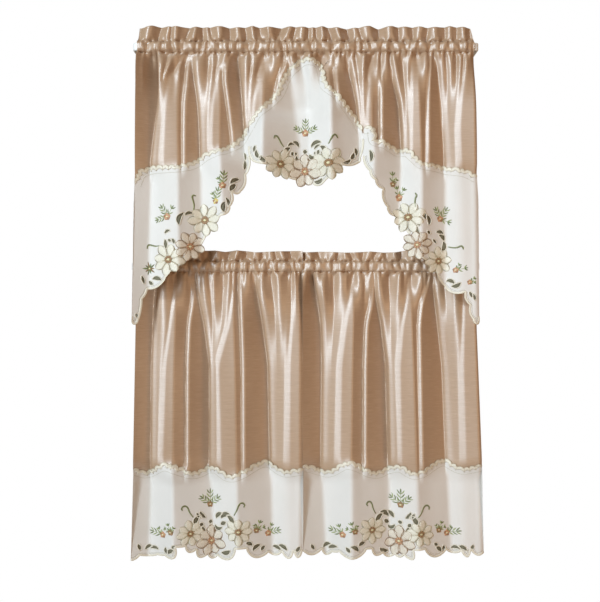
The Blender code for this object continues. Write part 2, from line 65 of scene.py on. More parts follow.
POCKET_WAVE = 0.55          # share of a gather's depth that is left over the rod
SETTLE_DEPTH = 170.0        # drop below the pocket in which the folds' fronts come level
FRONT_REACH = 22.0          # fronts that are level, in front of the middle of their rod
WHITE_BACK = 22.0           # and how much further back where white cloth covers the satin
STITCH_SPACING = 4.4        # along the two lines that close each rod pocket
STITCH_LENGTH = 3.1
STITCH_WIDTH = 0.8
SAMPLE = 0.8                # cloth between two threads of a drape's tables
FOLDED_SHARE = 0.84         # of the cut width lies in the folds, the rest in side hems
WHITE_FOLDED = 0.76         # and where the stiffer white cloth covers it

# Slopes of the cloth, back for each step to the right.
FACING = -0.38              # faces the tall light, at the middle of the set
FACING_RUN = -0.26 / 1000   # and how that changes along the rods
BEFORE_STREAK = -0.34       # beside a streak, counted from the slope that faces the light
AFTER_STREAK = 0.26
SHADED = 0.60               # turned away from the light
WALL = -2.0                 # the steep side of a fold, made higher until the fronts stand level
LOW_WALL = -1.3             # and the lower one of a thin ridge
WHITE_LIT = -0.50           # a front of white cloth, which leans to the light as a whole
HALF_LIT = -0.10            # a stretch of white cloth before a front, half turned to it
WHITE_SHADED = 0.52         # and white cloth turned away from the light
LEAST_WALL = 8.0            # samples of a wall, at least, that may be made higher
STREAK = 15.0               # the band along a fold's front that catches the light
THIN_STREAK = 7.0           # and the one along a thin ridge
SOFTENING = 600.0           # drop below the pocket in which the folds' turns grow softer
TIGHT_TURN = 1.5            # half the width of a turn, at the pocket
SOFTER_TURN = 2.5           # and what it gains by the end of that drop

# Small gathers: narrowest, widest, and the shortest and longest reach up or down the cloth.
LOW_PUCKERS = (10.0, 26.0, 6.0, 34.0)       # along the lower stitches
TOP_PUCKERS = (11.0, 24.0, 5.0, 12.0)       # along the upper stitches
BUBBLES = (13.0, 40.0, 10.0, 10.0)          # over the rod, between the two
RUFFLES = (26.0, 60.0, 10.0, 10.0)          # in the ruffle
GATHER_WIDTHS = (28.0, 48.0)                # gathers between the folds' lines
LEAST_GAP = 16.0                            # gap between two lines that holds a gather
FRONT_GATHER = (50.0, 210.0)                # reach of gathers down a broad front
TROUGH_GATHER = (50.0, 110.0)               # and down the trough behind it
POCKET_REACH = 9.0                          # longest reach of a pucker over the rod

# Values that wander along the heading: their spacing, and the most to either side.
LEAN = (42.0, 15.0)         # how far the ruffle's gathers lean at its top
TWIST = (30.0, 7.0)         # how far the bubbles over the rod lean
RISE = (34.0, 3.6)          # how far the ruffle's top edge goes up and down

# How finely the cloth is worked out.
CROSS_STEP = 0.5            # between two samples across the cloth
HALVINGS = 26               # rounds of the search for the folds' depth
DEEPEST = 14.0              # most that the spare slopes are scaled by
WANDER_WINDOW = 90.0        # width in which the cloth's slow wander is evened out
WHITE_WINDOW = 30.0         # width in which a change is spread out in white cloth
UNEVEN_WAVES = 9            # faint slow waves that keep the cloth from looking pressed
UNEVEN_DROP = 120.0         # drop below the pocket in which they grow to full size
FIRST_DROP = 1.2            # between the first two rows of the body's tables
DROP_GROWTH = 0.035         # and what it gains with each millimetre further down
LONGEST_DROP = 6.0
TIER_GRID = (300, 62)       # columns, and rows under the pocket, of a tier's mesh
VALANCE_GRID = (560, 41)
WHITE_SPACING = 3.9         # between the points of a white piece's mesh
TIER_SEAM = -1225.0         # height that the search for a tier's seam starts from
TIER_SEAM_ROUNDS = 10
VALANCE_SEAM = -250.0
VALANCE_SEAM_ROUNDS = 14
TIER_LOWEST = -1520.0       # the tables run down past every hem
VALANCE_LOWEST = -815.0

TURNED_DOWN = 4.0           # heading turned down behind, below the lower stitches
POCKET_SLACK = 0.9          # share of the deepest gather that the pocket stands off its rod
LEAN_RISE = 0.04            # how much higher the ruffle's edge is where it leans back
FRONT_GAP = 0.5             # the front layer of the heading, from the middle between the two
BACK_GAP = 1.1
SHARP = 80.0                # degrees past which an edge of cloth is shaded sharp
STITCH_SLANT = 0.15         # how far a stitch may slant, as a share of its length
STITCH_SEED = 7
TIER_SCALLOP = 18.5         # width of one scallop along the borders' tops
VALANCE_SCALLOP = 18.0
SCALLOP_DEPTH = 6.5
SCALLOP_BAR = 11.0          # length of the bar of stitches between two scallops
SCALLOP_LINE = 17.0         # inset of the fine line of stitches under the scallops
HEM_LINE = 9.0              # and of the one over a hem
# Bands of stitch along a white edge: inset from it, half width, height and colour.
SCALLOP_BANDS = ((5.0, 4.8, 1.0, "cream"), (0.8, 1.1, 1.3, "tip"))
HEM_BANDS = ((3.0, 3.3, 1.1, "cream"), (0.5, 0.7, 1.3, "tip"))

# A flower, as shares of its radius.
PETAL_LENGTH = 0.80
PETAL_VARIES = 0.07         # how far the lengths of its petals vary
PETAL_FOOT = 0.17           # where a petal starts
PETAL_WIDTH = 1.38          # 1.0 if the petals just touched at half the radius
PETAL_BEND = 0.20           # most that a petal bends, in radians
PETAL_VEINS = (-0.6, -0.3, 0.0, 0.3, 0.6)       # as shares of a petal's half width
EYE_RADIUS = 0.095
BAR_FOOT, BAR_LENGTH, BAR_WIDTH = 0.08, 0.18, 0.12      # the short bars round the eye
SPIKES = 10                 # leaves of a spiky flower
LEAF_STATIONS = 6
LEAF_BLUNTNESS = 0.8        # lower is blunter at both ends
PETAL_STATIONS = 10
TENDRIL_STATIONS = 24
HOLE_STATIONS = 13

VALANCE_EDGES = [
    # z, left edge, right edge
    (60.0, -479.0, 474.0),
    (15.0, -484.0, 484.0),
    (-60.0, -486.0, 485.0),
    (-153.0, -488.0, 486.0),
    (-368.0, -491.0, 491.0),
    (-446.0, -497.0, 496.0),
    (-802.0, -502.0, 498.0),
]
LEFT_TIER_EDGES = [
    (-582.0, -496.0, -9.0),
    (-650.0, -498.0, -9.0),
    (-816.0, -498.5, -7.5),
    (-1227.0, -506.0, -7.5),
    (-1494.0, -517.0, -8.5),
]
RIGHT_TIER_EDGES = [
    (-582.0, -8.5, 497.0),
    (-650.0, -8.5, 499.0),
    (-816.0, -9.0, 500.0),
    (-1227.0, -9.0, 516.0),
    (-1494.0, -8.0, 525.0),
]

# The folds' lines, at the heights below: where a front rises, its streak, where it falls
# away, and the thin ridges in the trough behind it.  From a half line to the next front,
# white cloth is half lit.
TIER_HEIGHTS = (-646, -690, -740, -800, -920, -1230, -1500)
LEFT_TIER_LINES = [
    ("rise", -438, -443, -447, -448, -452, -454, -466),
    ("streak", -382, -389, -395, -401, -418, -428, -425),
    ("fall", -379, -380, -381, -382, -386, -389, -387),
    ("thin", -332, -331, -334, -343, -346, -348, -345),
    ("rise", -327, -318, -310, -298, -281, -281, -266),
    ("streak", -215, -217, -222, -229, -262, -256, -240),
    ("fall", -211, -212, -212, -211, -207, -202, -199),
    ("thin", -195, -193, -190, -187, -183, -181, -182),
    ("rise", -151, -143, -133, -123, -108, -101, -96),
    ("streak", -45, -43, -43, -45, -54, -56, -55),
    ("fall", -25, -22, -20, -18, -17, -18, -20),
]
RIGHT_TIER_LINES = [
    ("rise", 25, 31, 41, 49, 52, 50, 66),
    ("streak", 139, 133, 123, 113, 98, 91, 98),
    ("fall", 143, 142, 141, 140, 137, 133, 134),
    ("thin", 196, 196, 194, 180, 175, 174, 178),
    ("rise", 203, 206, 215, 228, 242, 250, 250),
    ("streak", 305, 300, 292, 280, 269, 272, 280),
    ("fall", 309, 309, 310, 311, 315, 324, 331),
    ("thin", 366, 356, 340, 333, 334, 340, 345),
    ("rise", 376, 381, 388, 395, 408, 420, 434),
    ("streak", 464, 462, 460, 457, 454, 461, 465),
    ("fall", 491, 492, 493, 494, 498, 508, 516),
]
VALANCE_HEIGHTS = (-16, -50, -100, -160, -240, -330, -600)
VALANCE_LINES = [
    ("rise", -425, -422, -421, -424, -435, -445, -453),
    ("streak", -357, -366, -397, -407, -413, -417, -415),
    ("fall", -353, -360, -364, -366, -367, -366, -365),
    ("thin", -338, -339, -342, -348, -349, -349, -345),
    ("rise", -328, -323, -317, -308, -303, -301, -302),
    ("streak", -254, -256, -262, -271, -275, -275, -270),
    ("fall", -249, -247, -246, -245, -246, -246, -233),
    ("thin", -216, -228, -231, -223, -213, -205, -200),
    ("rise", -197, -190, -184, -179, -174, -170, -156),
    ("streak", -125, -131, -144, -153, -157, -155, -140),
    ("fall", -118, -117, -118, -121, -124, -126, -124),
    ("thin", -62, -64, -78, -90, -88, -86, -84),
    ("thin", -38, -37, -38, -38, -36, -34, -30),
    ("half", -60, -50, -42, -34, -24, -17, -12),
    ("rise", -20, -10, 0, 8, 12, 13, 13),
    ("streak", 46, 44, 42, 40, 38, 38, 38),
    ("fall", 60, 64, 68, 70, 70, 70, 70),
    ("thin", 80, 84, 88, 92, 96, 98, 100),
    ("rise", 112, 122, 136, 148, 156, 158, 160),
    ("streak", 191, 183, 176, 173, 172, 172, 178),
    ("fall", 195, 192, 190, 189, 190, 191, 196),
    ("thin", 216, 216, 216, 216, 216, 216, 218),
    ("rise", 237, 242, 255, 272, 278, 280, 267),
    ("streak", 307, 302, 299, 298, 297, 297, 300),
    ("fall", 320, 322, 323, 325, 328, 331, 330),
    ("thin", 357, 356, 353, 351, 350, 350, 352),
    ("rise", 371, 377, 383, 390, 399, 405, 405),
    ("streak", 456, 452, 448, 439, 434, 439, 445),
    ("fall", 478, 479, 480, 481, 482, 484, 488),
]

LEFT_BORDER_TOP = [
    (-508.0, -1226.0), (-473.0, -1240.0), (-411.0, -1211.0), (-326.0, -1237.0),
    (-269.0, -1221.0), (-222.0, -1245.0), (-120.0, -1208.0), (-60.0, -1233.0),
    (-12.0, -1226.0),
]
RIGHT_BORDER_TOP = [
    (-6.0, -1217.0), (62.0, -1237.0), (123.0, -1205.0), (210.0, -1237.0),
    (275.0, -1217.0), (319.0, -1237.0), (406.0, -1203.0), (460.0, -1224.0),
    (520.0, -1213.0),
]
LEFT_SWAG_TOP = [
    (-503.0, -397.0), (-479.0, -359.0), (-447.0, -347.0), (-365.0, -348.0),
    (-334.0, -340.0), (-285.0, -311.0), (-234.0, -297.0), (-208.0, -283.0),
    (-185.0, -265.0), (-164.0, -234.0),
]
CENTRE_TOP = [
    (-161.0, -231.0), (-146.0, -202.0), (-97.0, -153.0), (-79.0, -133.0),
    (-66.0, -96.0), (-45.0, -67.0), (-23.0, -47.0), (-7.0, -38.0),
    (13.0, -38.0), (42.0, -50.0), (50.0, -79.0), (57.0, -115.0),
    (90.0, -146.0), (123.0, -185.0), (145.0, -211.0), (162.0, -243.0),
]
RIGHT_SWAG_TOP = [
    (168.0, -236.0), (194.0, -238.0), (197.0, -278.0), (218.0, -277.0),
    (262.0, -300.0), (293.0, -297.0), (331.0, -340.0), (371.0, -343.0),
    (405.0, -349.0), (459.0, -359.0), (503.0, -376.0),
]
LEFT_BORDER_HEM = [
    (-520.0, -1471.0, 22.0), (-491.0, -1486.0, 6.0), (-437.0, -1483.0, 2.0),
    (-413.0, -1480.0, 21.0), (-379.0, -1453.0, 0.0), (-354.0, -1453.0, 13.0),
    (-323.0, -1465.0, 17.0), (-291.0, -1483.0, 12.0), (-260.0, -1486.0, 22.0),
    (-204.0, -1459.0, 0.0), (-175.0, -1459.0, 22.0), (-111.0, -1477.0, 12.0),
    (-69.0, -1474.0, 21.0), (-35.0, -1468.0, 20.0), (-10.0, -1468.0, 0.0),
]
RIGHT_BORDER_HEM = [
    (-10.0, -1465.0, 17.0), (47.0, -1471.0, 15.0), (80.0, -1477.0, 2.0),
    (101.0, -1471.0, 20.0), (178.0, -1462.0, 0.0), (194.0, -1463.0, 14.0),
    (228.0, -1479.0, 12.0), (265.0, -1482.0, 8.0), (290.0, -1480.0, 22.0),
    (318.0, -1462.0, 0.0), (348.0, -1460.0, 22.0), (415.0, -1468.0, 10.0),
    (460.0, -1470.0, 20.0), (487.0, -1465.0, 18.0), (530.0, -1462.0, 0.0),
]
LEFT_SWAG_HEM = [
    (-502.0, -776.0, 4.0), (-497.0, -800.0, 4.0), (-484.0, -790.0, 3.0), (-473.0, -726.0, 3.0),
    (-459.0, -698.0, 12.0), (-400.0, -664.0, 2.0), (-374.0, -628.0, 0.0),
    (-344.0, -608.0, 0.0), (-306.0, -580.0, 0.0), (-286.0, -545.0, 0.0),
    (-264.0, -512.0, 0.0), (-240.0, -488.0, 8.0), (-217.0, -461.0, 7.0),
    (-212.0, -420.0, 8.0), (-187.0, -416.0, 7.0), (-173.0, -368.0, 9.0), (-161.0, -315.0, 0.0),
]
CENTRE_HEM = [
    (-163.0, -287.0, 5.0), (-151.0, -331.0, 5.0), (-100.0, -343.0, 0.0),
    (-82.0, -364.0, 0.0), (-56.0, -376.0, 0.0), (-22.0, -384.0, 0.0), (18.0, -388.0, 12.0),
    (56.0, -390.0, 0.0), (82.0, -366.0, 0.0), (106.0, -344.0, 5.0),
    (150.0, -335.0, 5.0), (159.0, -319.0, 4.0), (168.0, -267.0, 0.0),
]
RIGHT_SWAG_HEM = [
    (166.0, -315.0, 5.0), (184.0, -360.0, 4.0), (198.0, -386.0, 7.0),
    (220.0, -410.0, 8.0), (233.0, -461.0, 10.0), (262.0, -486.0, 0.0), (280.0, -515.0, 0.0),
    (300.0, -542.0, 0.0), (305.0, -590.0, 0.0), (330.0, -608.0, 0.0),
    (356.0, -624.0, 0.0), (378.0, -654.0, 4.0), (402.0, -690.0, 12.0),
    (457.0, -707.0, 6.0), (471.0, -744.0, 6.0), (480.0, -785.0, 4.0), (493.0, -800.0, 4.0),
    (498.0, -776.0, 0.0),
]

# The needlework, as hung.  Flowers: x, z, radius, petals, turn in degrees, kind.
# Buds: x, z, size, colour, then an angle and a length for each spray of leaves.
# Tendrils: the points that each one runs through, from its foot to its hooked end.
# Cuts: start x, start z, end x, end z, width, and how far the middle lies to the left.
TIER_FLOWERS = [
    (-63, 18, 40, 8, 10, "pale"), (79, 26, 41, 8, 0, "pale"), (-3, -8, 45, 7, 90, "brown"),
]
TIER_BUDS = [
    (-7, 100, 10, "umber", ((90, 42), (138, 36), (40, 38))),
    (-143, 14, 10, "orange", ((170, 40), (128, 22))),
    (-118, 25, 9, "umber", ((112, 24), (158, 20), (60, 16))),
    (130, 26, 9, "umber", ((66, 28), (18, 24), (110, 16))),
    (164, 14, 10, "orange", ((66, 28), (16, 38))),
]
TIER_TENDRILS = [
    ((-55, 66), (-65, 80), (-69, 92), (-74, 100), (-83, 101), (-89, 94), (-86, 88)),
    ((68, 74), (76, 90), (79, 103), (84, 111), (92, 111), (97, 104), (93, 98)),
]
TIER_CUTS = [
    (-50, 43, -38, 68, 10, 4), (-45, 77, -32, 63, 7, -2), (-35, 80, -21, 62, 8, -3),
    (13, 60, 31, 77, 9, 4), (29, 63, 53, 77, 11, 5), (47, 72, 64, 45, 11, 5),
    (-37, 45, -28, 37, 8, 1), (27, 44, 41, 53, 9, -1), (-6, 54, -6, 43, 9, 0),
    (-28, 36, -20, 20, 7, -3), (9, 38, 30, 35, 8, -7), (-11, 36, 3, 30, 6, 2),
    (30, -40, 54, -31, 10, -4),
    (-220, -18, -214, -35, 7, 0), (-200, -35, -179, -25, 8, 4), (-183, -31, -158, -31, 7, 4),
    (-133, -22, -129, -38, 8, -2), (-126, -38, -110, -25, 9, 2), (-114, -20, -103, -14, 7, 1),
    (101, -8, 118, -16, 9, 2), (121, -32, 141, -18, 9, 4), (145, -35, 154, -22, 8, 1),
    (180, -26, 203, -34, 8, 3), (199, -21, 221, -33, 9, 4), (249, -36, 258, -21, 7, 0),
]
CENTRE_FLOWERS = [
    (-74, -339, 45, 8, 25, "pale"), (65, -339, 48, 8, 12, "pale"), (-2, -356, 48, 7, 90, "brown"),
]
CENTRE_BUDS = [
    (-1, -247, 11, "orange", ((88, 38), (154, 34), (22, 33))),
]
CENTRE_TENDRILS = [
    ((-64, -290), (-71, -281), (-77, -270), (-83, -261), (-90, -261), (-92, -269)),
    ((66, -287), (71, -276), (75, -265), (80, -260), (86, -262), (88, -270)),
]
CENTRE_CUTS = [
    (-46, -292, -59, -312, 10, -5), (-51, -287, -34, -280, 6, 4), (-38, -274, -21, -286, 8, 5),
    (18, -287, 44, -278, 9, 6), (27, -295, 42, -286, 5, 3), (44, -290, 56, -314, 10, 5),
    (-42, -303, -35, -312, 8, 0), (-27, -303, -33, -311, 6, 0), (-1, -294, -2, -306, 9, 0),
    (40, -300, 33, -311, 8, 0), (27, -303, 31, -310, 6, 0),
    (-26, -313, -17, -329, 8, -5), (13, -309, 29, -316, 9, -6), (38, -329, 48, -340, 5, 2),
    (26, -355, 40, -363, 5, 2), (28, -387, 47, -381, 10, -6),
    (-146, -306, -142, -290, 6, 1), (-139, -303, -129, -325, 8, -4),
    (-129, -319, -114, -336, 8, -3), (-114, -335, -102, -340, 5, -1),
    (140, -294, 143, -314, 8, 3), (137, -307, 127, -325, 9, 3), (127, -326, 101, -340, 8, 4),
]
LEFT_SWAG_FLOWERS = [
    (-290, -499, 49, 8, 5, "pale"), (-393, -613, 47, 8, 35, "pale"),
    (-333, -576, 43, 8, 75, "brown"), (-452, -638, 21, 8, 0, "spiky"),
]
LEFT_SWAG_BUDS = [
    (-397, -490, 11, "orange", ((120, 36), (58, 32), (195, 34))),
    (-238, -402, 10, "orange", ((84, 38), (118, 24))),
    (-257, -446, 9, "gold", ((76, 38), (112, 26))),
]
LEFT_SWAG_TENDRILS = [
    ((-420, -572), (-432, -574), (-444, -571), (-453, -569), (-459, -572), (-460, -581)),
    ((-323, -471), (-321, -456), (-325, -442), (-328, -433), (-324, -427), (-318, -430)),
]
LEFT_SWAG_CUTS = [
    (-352, -481, -362, -512, 9, -6), (-346, -486, -326, -480, 7, 4),
    (-403, -538, -389, -530, 6, 3), (-403, -556, -401, -581, 8, 1), (-394, -556, -386, -562, 6, 1),
    (-382, -554, -376, -568, 6, 2),
    (-453, -674, -440, -683, 8, -2), (-441, -668, -415, -672, 9, 4),
    (-490, -768, -485, -780, 6, 0), (-474, -660, -468, -681, 6, 0),
    (-233, -477, -233, -449, 9, 3), (-228, -438, -222, -464, 7, 4),
    (-216, -395, -193, -383, 9, 4), (-217, -416, -202, -398, 11, 2),
    (-177, -306, -174, -326, 6, 2), (-176, -329, -178, -352, 8, 2),
]
RIGHT_SWAG_FLOWERS = [
    (296, -491, 47, 8, 20, "pale"), (382, -617, 42, 8, 50, "pale"),
    (320, -571, 42, 8, 100, "brown"),
]
RIGHT_SWAG_BUDS = [
    (250, -395, 9, "umber", ((93, 32), (48, 18))),
    (270, -433, 12, "orange", ((106, 30), (58, 28))),
    (387, -495, 10, "orange", ((115, 33), (54, 38), (-18, 32))),
    (433, -643, 9, "orange", ((12, 30), (58, 18))),
    (471, -678, 8, "orange", ((40, 18), (0, 14))),
]
RIGHT_SWAG_TENDRILS = [
    ((316, -463), (314, -450), (315, -438), (319, -430), (315, -422)),
    ((412, -576), (424, -579), (437, -579), (446, -573), (452, -576), (452, -584)),
]
RIGHT_SWAG_CUTS = [
    (311, -479, 321, -491, 12, 0), (328, -479, 341, -497, 9, 4), (346, -487, 352, -513, 9, 4),
    (318, -511, 328, -516, 5, 1), (321, -520, 328, -541, 7, -5), (348, -531, 356, -539, 6, 0),
    (365, -555, 376, -565, 5, 0), (376, -534, 397, -539, 8, 4), (385, -542, 399, -557, 10, 4),
    (398, -561, 393, -588, 11, 5), (409, -674, 429, -681, 8, 4), (423, -689, 445, -680, 9, -4),
    (471, -706, 477, -721, 6, 1), (481, -712, 486, -729, 5, 1), (184, -303, 187, -333, 7, 3),
]

THREADS = {
    "cream": (0.76, 0.705, 0.585),
    "tip": (0.63, 0.56, 0.42),
    "line": (0.52, 0.48, 0.38),
    "pale petal": (0.77, 0.725, 0.605),
    "pale outline": (0.56, 0.49, 0.32),
    "brown petal": (0.72, 0.65, 0.54),
    "brown outline": (0.33, 0.20, 0.10),
    "gold": (0.66, 0.52, 0.16),
    "umber": (0.26, 0.17, 0.07),
    "brown": (0.36, 0.19, 0.09),
    "orange": (0.56, 0.30, 0.16),
    "yellow": (0.80, 0.72, 0.44),
    "leaf": (0.17, 0.21, 0.075),
    "young leaf": (0.34, 0.39, 0.17),
    "olive": (0.17, 0.18, 0.08),
}


# ---------------------------------------------------------------- how a cloth hangs
def ease(share):
    share = np.clip(share, 0.0, 1.0)
    return share * share * (3.0 - 2.0 * share)


def crease(share, front, soft):
    """Slope across one gather: one side faces left, the other right, its front between."""
    places = (np.zeros(len(share)), front - soft, front + soft, np.ones(len(share)))
    values = (-0.85, -1.0, 1.0, 0.85)
    result = np.full(len(share), values[0])
    for index in range(3):
        first, last = places[index], places[index + 1]
        part = (share - first) / (last - first)
        here = (part >= 0.0) & (part <= 1.0)
        slope = values[index] + (values[index + 1] - values[index]) * part
        result[here] = slope[here]
    return result


class Drape:
    """Where the threads of one gathered cloth hang.

    u runs across the cloth from 0 to its cut width.  At each height the cloth steps back
    and forth across the width that it hangs in.  The main folds follow their lines down
    the cloth.  Below the rod pocket small gathers run into them, and along both stitch
    lines still smaller puckers.  A part of each slope is kept as it is.  The spare part,
    from the gathers and from the folds' walls and shaded sides, is scaled until the folds
    use up their share of the cut width.  The walls are made higher until the fronts stand
    level, and the cloth is set back over its rod.
    """

    def __init__(self, cut_width, plane, rod_z, ruffle, edges, heights, lines, white, seed):
        self.cut_width, self.plane, self.rod_z, self.ruffle = cut_width, plane, rod_z, ruffle
        self.upper, self.lower = rod_z + UPPER_STITCH, rod_z + LOWER_STITCH
        self.edges, self.heights, self.white = edges, heights[::-1], white
        self.kinds = [row[0] for row in lines]
        self.lines = np.array([row[1:][::-1] for row in lines], dtype=float)
        self.u = np.linspace(0.0, cut_width, int(cut_width / SAMPLE) + 1)
        self.random = np.random.default_rng(seed)
        left, right = edges[-1][1] - 30.0, edges[-1][2] + 30.0
        self.low_puckers = self.creases(left, right, *LOW_PUCKERS)
        self.top_puckers = self.creases(left, right, *TOP_PUCKERS)
        self.bubbles = self.creases(left, right, *BUBBLES)
        self.ruffles = self.creases(left, right, *RUFFLES)
        self.lean = self.along(left, right, *LEAN)
        self.twist = self.along(left, right, *TWIST)
        self.rise = self.along(left, right, *RISE)
        self.gathers = self.sub_pleats()
        self.uneven = [(self.random.uniform(0.15, 0.6), self.random.uniform(0.008, 0.045),
                        self.random.uniform(-0.012, 0.012), self.random.uniform(0, 6.28))
                       for _ in range(UNEVEN_WAVES)]

    def along(self, left, right, spacing, size):
        """A value that wanders along the heading."""
        places = np.arange(left, right + spacing, spacing)
        places = places + self.random.uniform(-0.35, 0.35, len(places)) * spacing
        return places, self.random.uniform(-size, size, len(places))

    def creases(self, left, right, narrow, wide, shortest, longest):
        """Gathers of uneven width: (start, width, front, softness, reach) for each."""
        rows, place = [], left
        while place < right:
            width = self.random.uniform(narrow, wide)
            reach = shortest + (longest - shortest) * self.random.uniform(0.0, 1.0) ** 2
            front = self.random.uniform(0.32, 0.70)
            rows.append((place, width, front, self.random.uniform(0.10, 0.30), reach))
            place += width
        return rows

    def sub_pleats(self):
        """Gathers between the folds' lines at the heading, as shares of each gap."""
        heads = self.lines[:, -1]
        rows = []
        for index in range(len(heads) - 1):
            gap = heads[index + 1] - heads[index]
            reaches = FRONT_GATHER if self.kinds[index] == "rise" else TROUGH_GATHER
            count = int(round(gap / self.random.uniform(*GATHER_WIDTHS)))
            if count < 1 or gap < LEAST_GAP:
                continue
            cuts = np.sort(np.linspace(0.0, 1.0, count + 1)
                           + np.pad(self.random.uniform(-0.3, 0.3, count - 1) / count, 1))
            for start, end in zip(cuts[:-1], cuts[1:]):
                front = self.random.uniform(0.30, 0.70)
                soft = self.random.uniform(0.08, 0.30)
                reach = self.random.uniform(*reaches)
                rows.append((index, start, end, front, soft, reach))
        return rows

    def line_places(self, z):
        """Where each of the folds' lines crosses height z, its corners rounded."""
        return [float(np.mean([np.interp(z + step, self.heights, row)
                               for step in (-12.0, 0.0, 12.0)])) for row in self.lines]

    def fold_knots(self, z, white):
        """Where the main folds turn at height z: place, slope, and 1 where it may steepen.

        Each front rises by a steep wall, catches the light along its streak and falls away
        into the shade.  White cloth is stiffer: its fronts are plain and lean as a whole.
        The steps to either side of a line are in millimetres across the cloth.
        """
        places = self.line_places(z)
        left, right = self.side_edges(z)
        low = ease((self.lower - z) / SOFTENING)
        turn = TIGHT_TURN + SOFTER_TURN * low
        shade = WHITE_SHADED if white else SHADED
        knots = [(left, shade, 0)]
        for index, kind in enumerate(self.kinds):
            place, last = places[index], knots[-1][0]
            following = places[index + 1] if index + 1 < len(places) else right
            facing = self.facing(place)
            if kind == "rise" and white:
                knots += [(place - 8.0, knots[-1][1], 0), (place + 8.0, WHITE_LIT, 1)]
            elif kind == "rise":
                wide = min(5.0 + 2.0 * low, 0.6 * (place - last))
                knots += [(place - wide, shade, 0), (place - 0.65 * wide, WALL, 1),
                          (place - 0.20 * wide, WALL, 1), (place + 2.0, facing - 0.24, 0),
                          (place + 9.0, facing - 0.17, 0),
                          (place + 16.0 + turn, facing + BEFORE_STREAK, 0)]
            elif kind == "streak" and not white:
                end = min(place + STREAK / 2, following - 1.5)
                start = end - STREAK
                knots += [(start - turn, facing + BEFORE_STREAK, 0), (start, facing - 0.05, 0),
                          (end, facing + 0.05, 0), (end + 1.5 * turn, facing + AFTER_STREAK, 0)]
            elif kind == "fall" and white:
                knots += [(place - 5.0, WHITE_LIT, 1), (place + 6.0, shade, 0)]
            elif kind == "half" and white:
                knots += [(place - 10.0, shade, 0), (place + 10.0, HALF_LIT, 0)]
            elif kind == "fall":
                soft = min(turn, 0.45 * abs(place - last) + 0.1, 0.45 * (following - place))
                knots += [(place - soft, min(facing + AFTER_STREAK, knots[-1][1]), 0),
                          (place + soft, shade, 0)]
            elif kind == "thin" and not white:
                half = min(THIN_STREAK / 2, 0.3 * abs(place - last), 0.3 * (following - place))
                knots += [(place - half - 4.5, shade, 0), (place - half - 3.4, LOW_WALL, 0.6),
                          (place - half - 1.6, LOW_WALL, 0.6), (place - half, facing - 0.05, 0),
                          (place + 0.6 * half, facing + 0.05, 0), (place + 1.8 * half, shade, 0)]
        knots.append((right, shade, 0))
        return np.array(knots)

    def fold_slopes(self, x, z):
        """Slope of the main folds across x at height z, and how far it is a wall."""
        slopes, walls = [], []
        for white in (False, True):
            knots = self.fold_knots(z, white)
            spots = np.maximum.accumulate(knots[:, 0]) + np.arange(len(knots)) * 1e-6
            slopes.append(np.interp(x, spots, knots[:, 1]))
            walls.append(np.interp(x, spots, knots[:, 2]))
        share = self.white_share(x, z)
        return ((1.0 - share) * slopes[0] + share * slopes[1],
                (1.0 - share) * walls[0] + share * walls[1])

    def white_share(self, x, z):
        """How far the folds at x and height z follow the stiffer white cloth."""
        places, heights = zip(*self.white)
        steps = (-24.0, -12.0, 0.0, 12.0, 24.0)
        top = np.mean([np.interp(x + step, places, heights) for step in steps], axis=0)
        return ease((top + 15.0 - z) / 60.0)

    def facing(self, x):
        """Slope that faces the tall light, at x."""
        return FACING + FACING_RUN * x

    def gather_slopes(self, x, z):
        """Slope of the gathers below the heading, and how much they count."""
        places = self.line_places(z)
        depth = max(0.0, self.lower - z)
        slopes, share = np.zeros(len(x)), np.zeros(len(x))
        for index, start, end, front, soft, reach in self.gathers:
            gap = places[index + 1] - places[index]
            first, last = places[index] + start * gap, places[index] + end * gap
            if last - first < 3.0:
                continue
            here = (x >= first) & (x < last)
            slopes[here] = crease((x[here] - first) / (last - first), front, soft)
            share[here] = math.exp(-(depth / reach) ** 2)
        return slopes, share

    def pucker_slopes(self, x, rows, distance, reach_limit=math.inf):
        """Slope of small gathers at a distance from their stitches, and how much they count."""
        starts = np.array([row[0] for row in rows])
        index = np.clip(np.searchsorted(starts, x, side="right") - 1, 0, len(rows) - 1)
        table = np.array(rows)[index]
        slopes = crease((x - table[:, 0]) / table[:, 1], table[:, 2], table[:, 3])
        reach = np.minimum(table[:, 4], reach_limit)
        return slopes, np.exp(-(distance / reach))

    def side_edges(self, z):
        """Left and right edge of the cloth at height z."""
        heights = [row[0] for row in self.edges][::-1]
        left = np.interp(z, heights, [row[1] for row in self.edges][::-1])
        right = np.interp(z, heights, [row[2] for row in self.edges][::-1])
        return left, right

    def slopes(self, x, z):
        """Slopes at height z: those kept, those scaled to use up the cloth, and the walls."""
        kept, walls = np.zeros(len(x)), np.zeros(len(x))
        if z > self.upper:
            climb = (z - self.upper) / (self.ruffle - UPPER_STITCH)
            spare = self.pucker_slopes(x - self.leaning(x) * climb, self.ruffles, 0.0)[0]
        elif z > self.lower:
            climb = (z - self.lower) / (self.upper - self.lower) - 0.5
            moved = x - np.interp(x, *self.twist) * climb
            spare = self.pucker_slopes(moved, self.bubbles, 0.0)[0]
        else:
            gathered, share = self.gather_slopes(x, z)
            folds, walls = self.fold_slopes(x, z)
            spare = 0.5 * np.clip(folds / SHADED, 0.0, 1.0) - walls
            kept, walls = (1.0 - share) * folds, (1.0 - share) * walls
            spare = (1.0 - share) * spare + share * gathered
        limit = POCKET_REACH if self.lower < z < self.upper else math.inf
        near = []
        if z < self.upper:
            near.append((self.low_puckers, abs(z - self.lower)))
        if z > self.lower:
            near.append((self.top_puckers, abs(z - self.upper)))
        for rows, distance in near:
            small, share = self.pucker_slopes(x, rows, distance, limit)
            kept, walls = (1.0 - share) * kept, (1.0 - share) * walls
            spare = (1.0 - share) * spare + share * small
        return kept, spare, walls

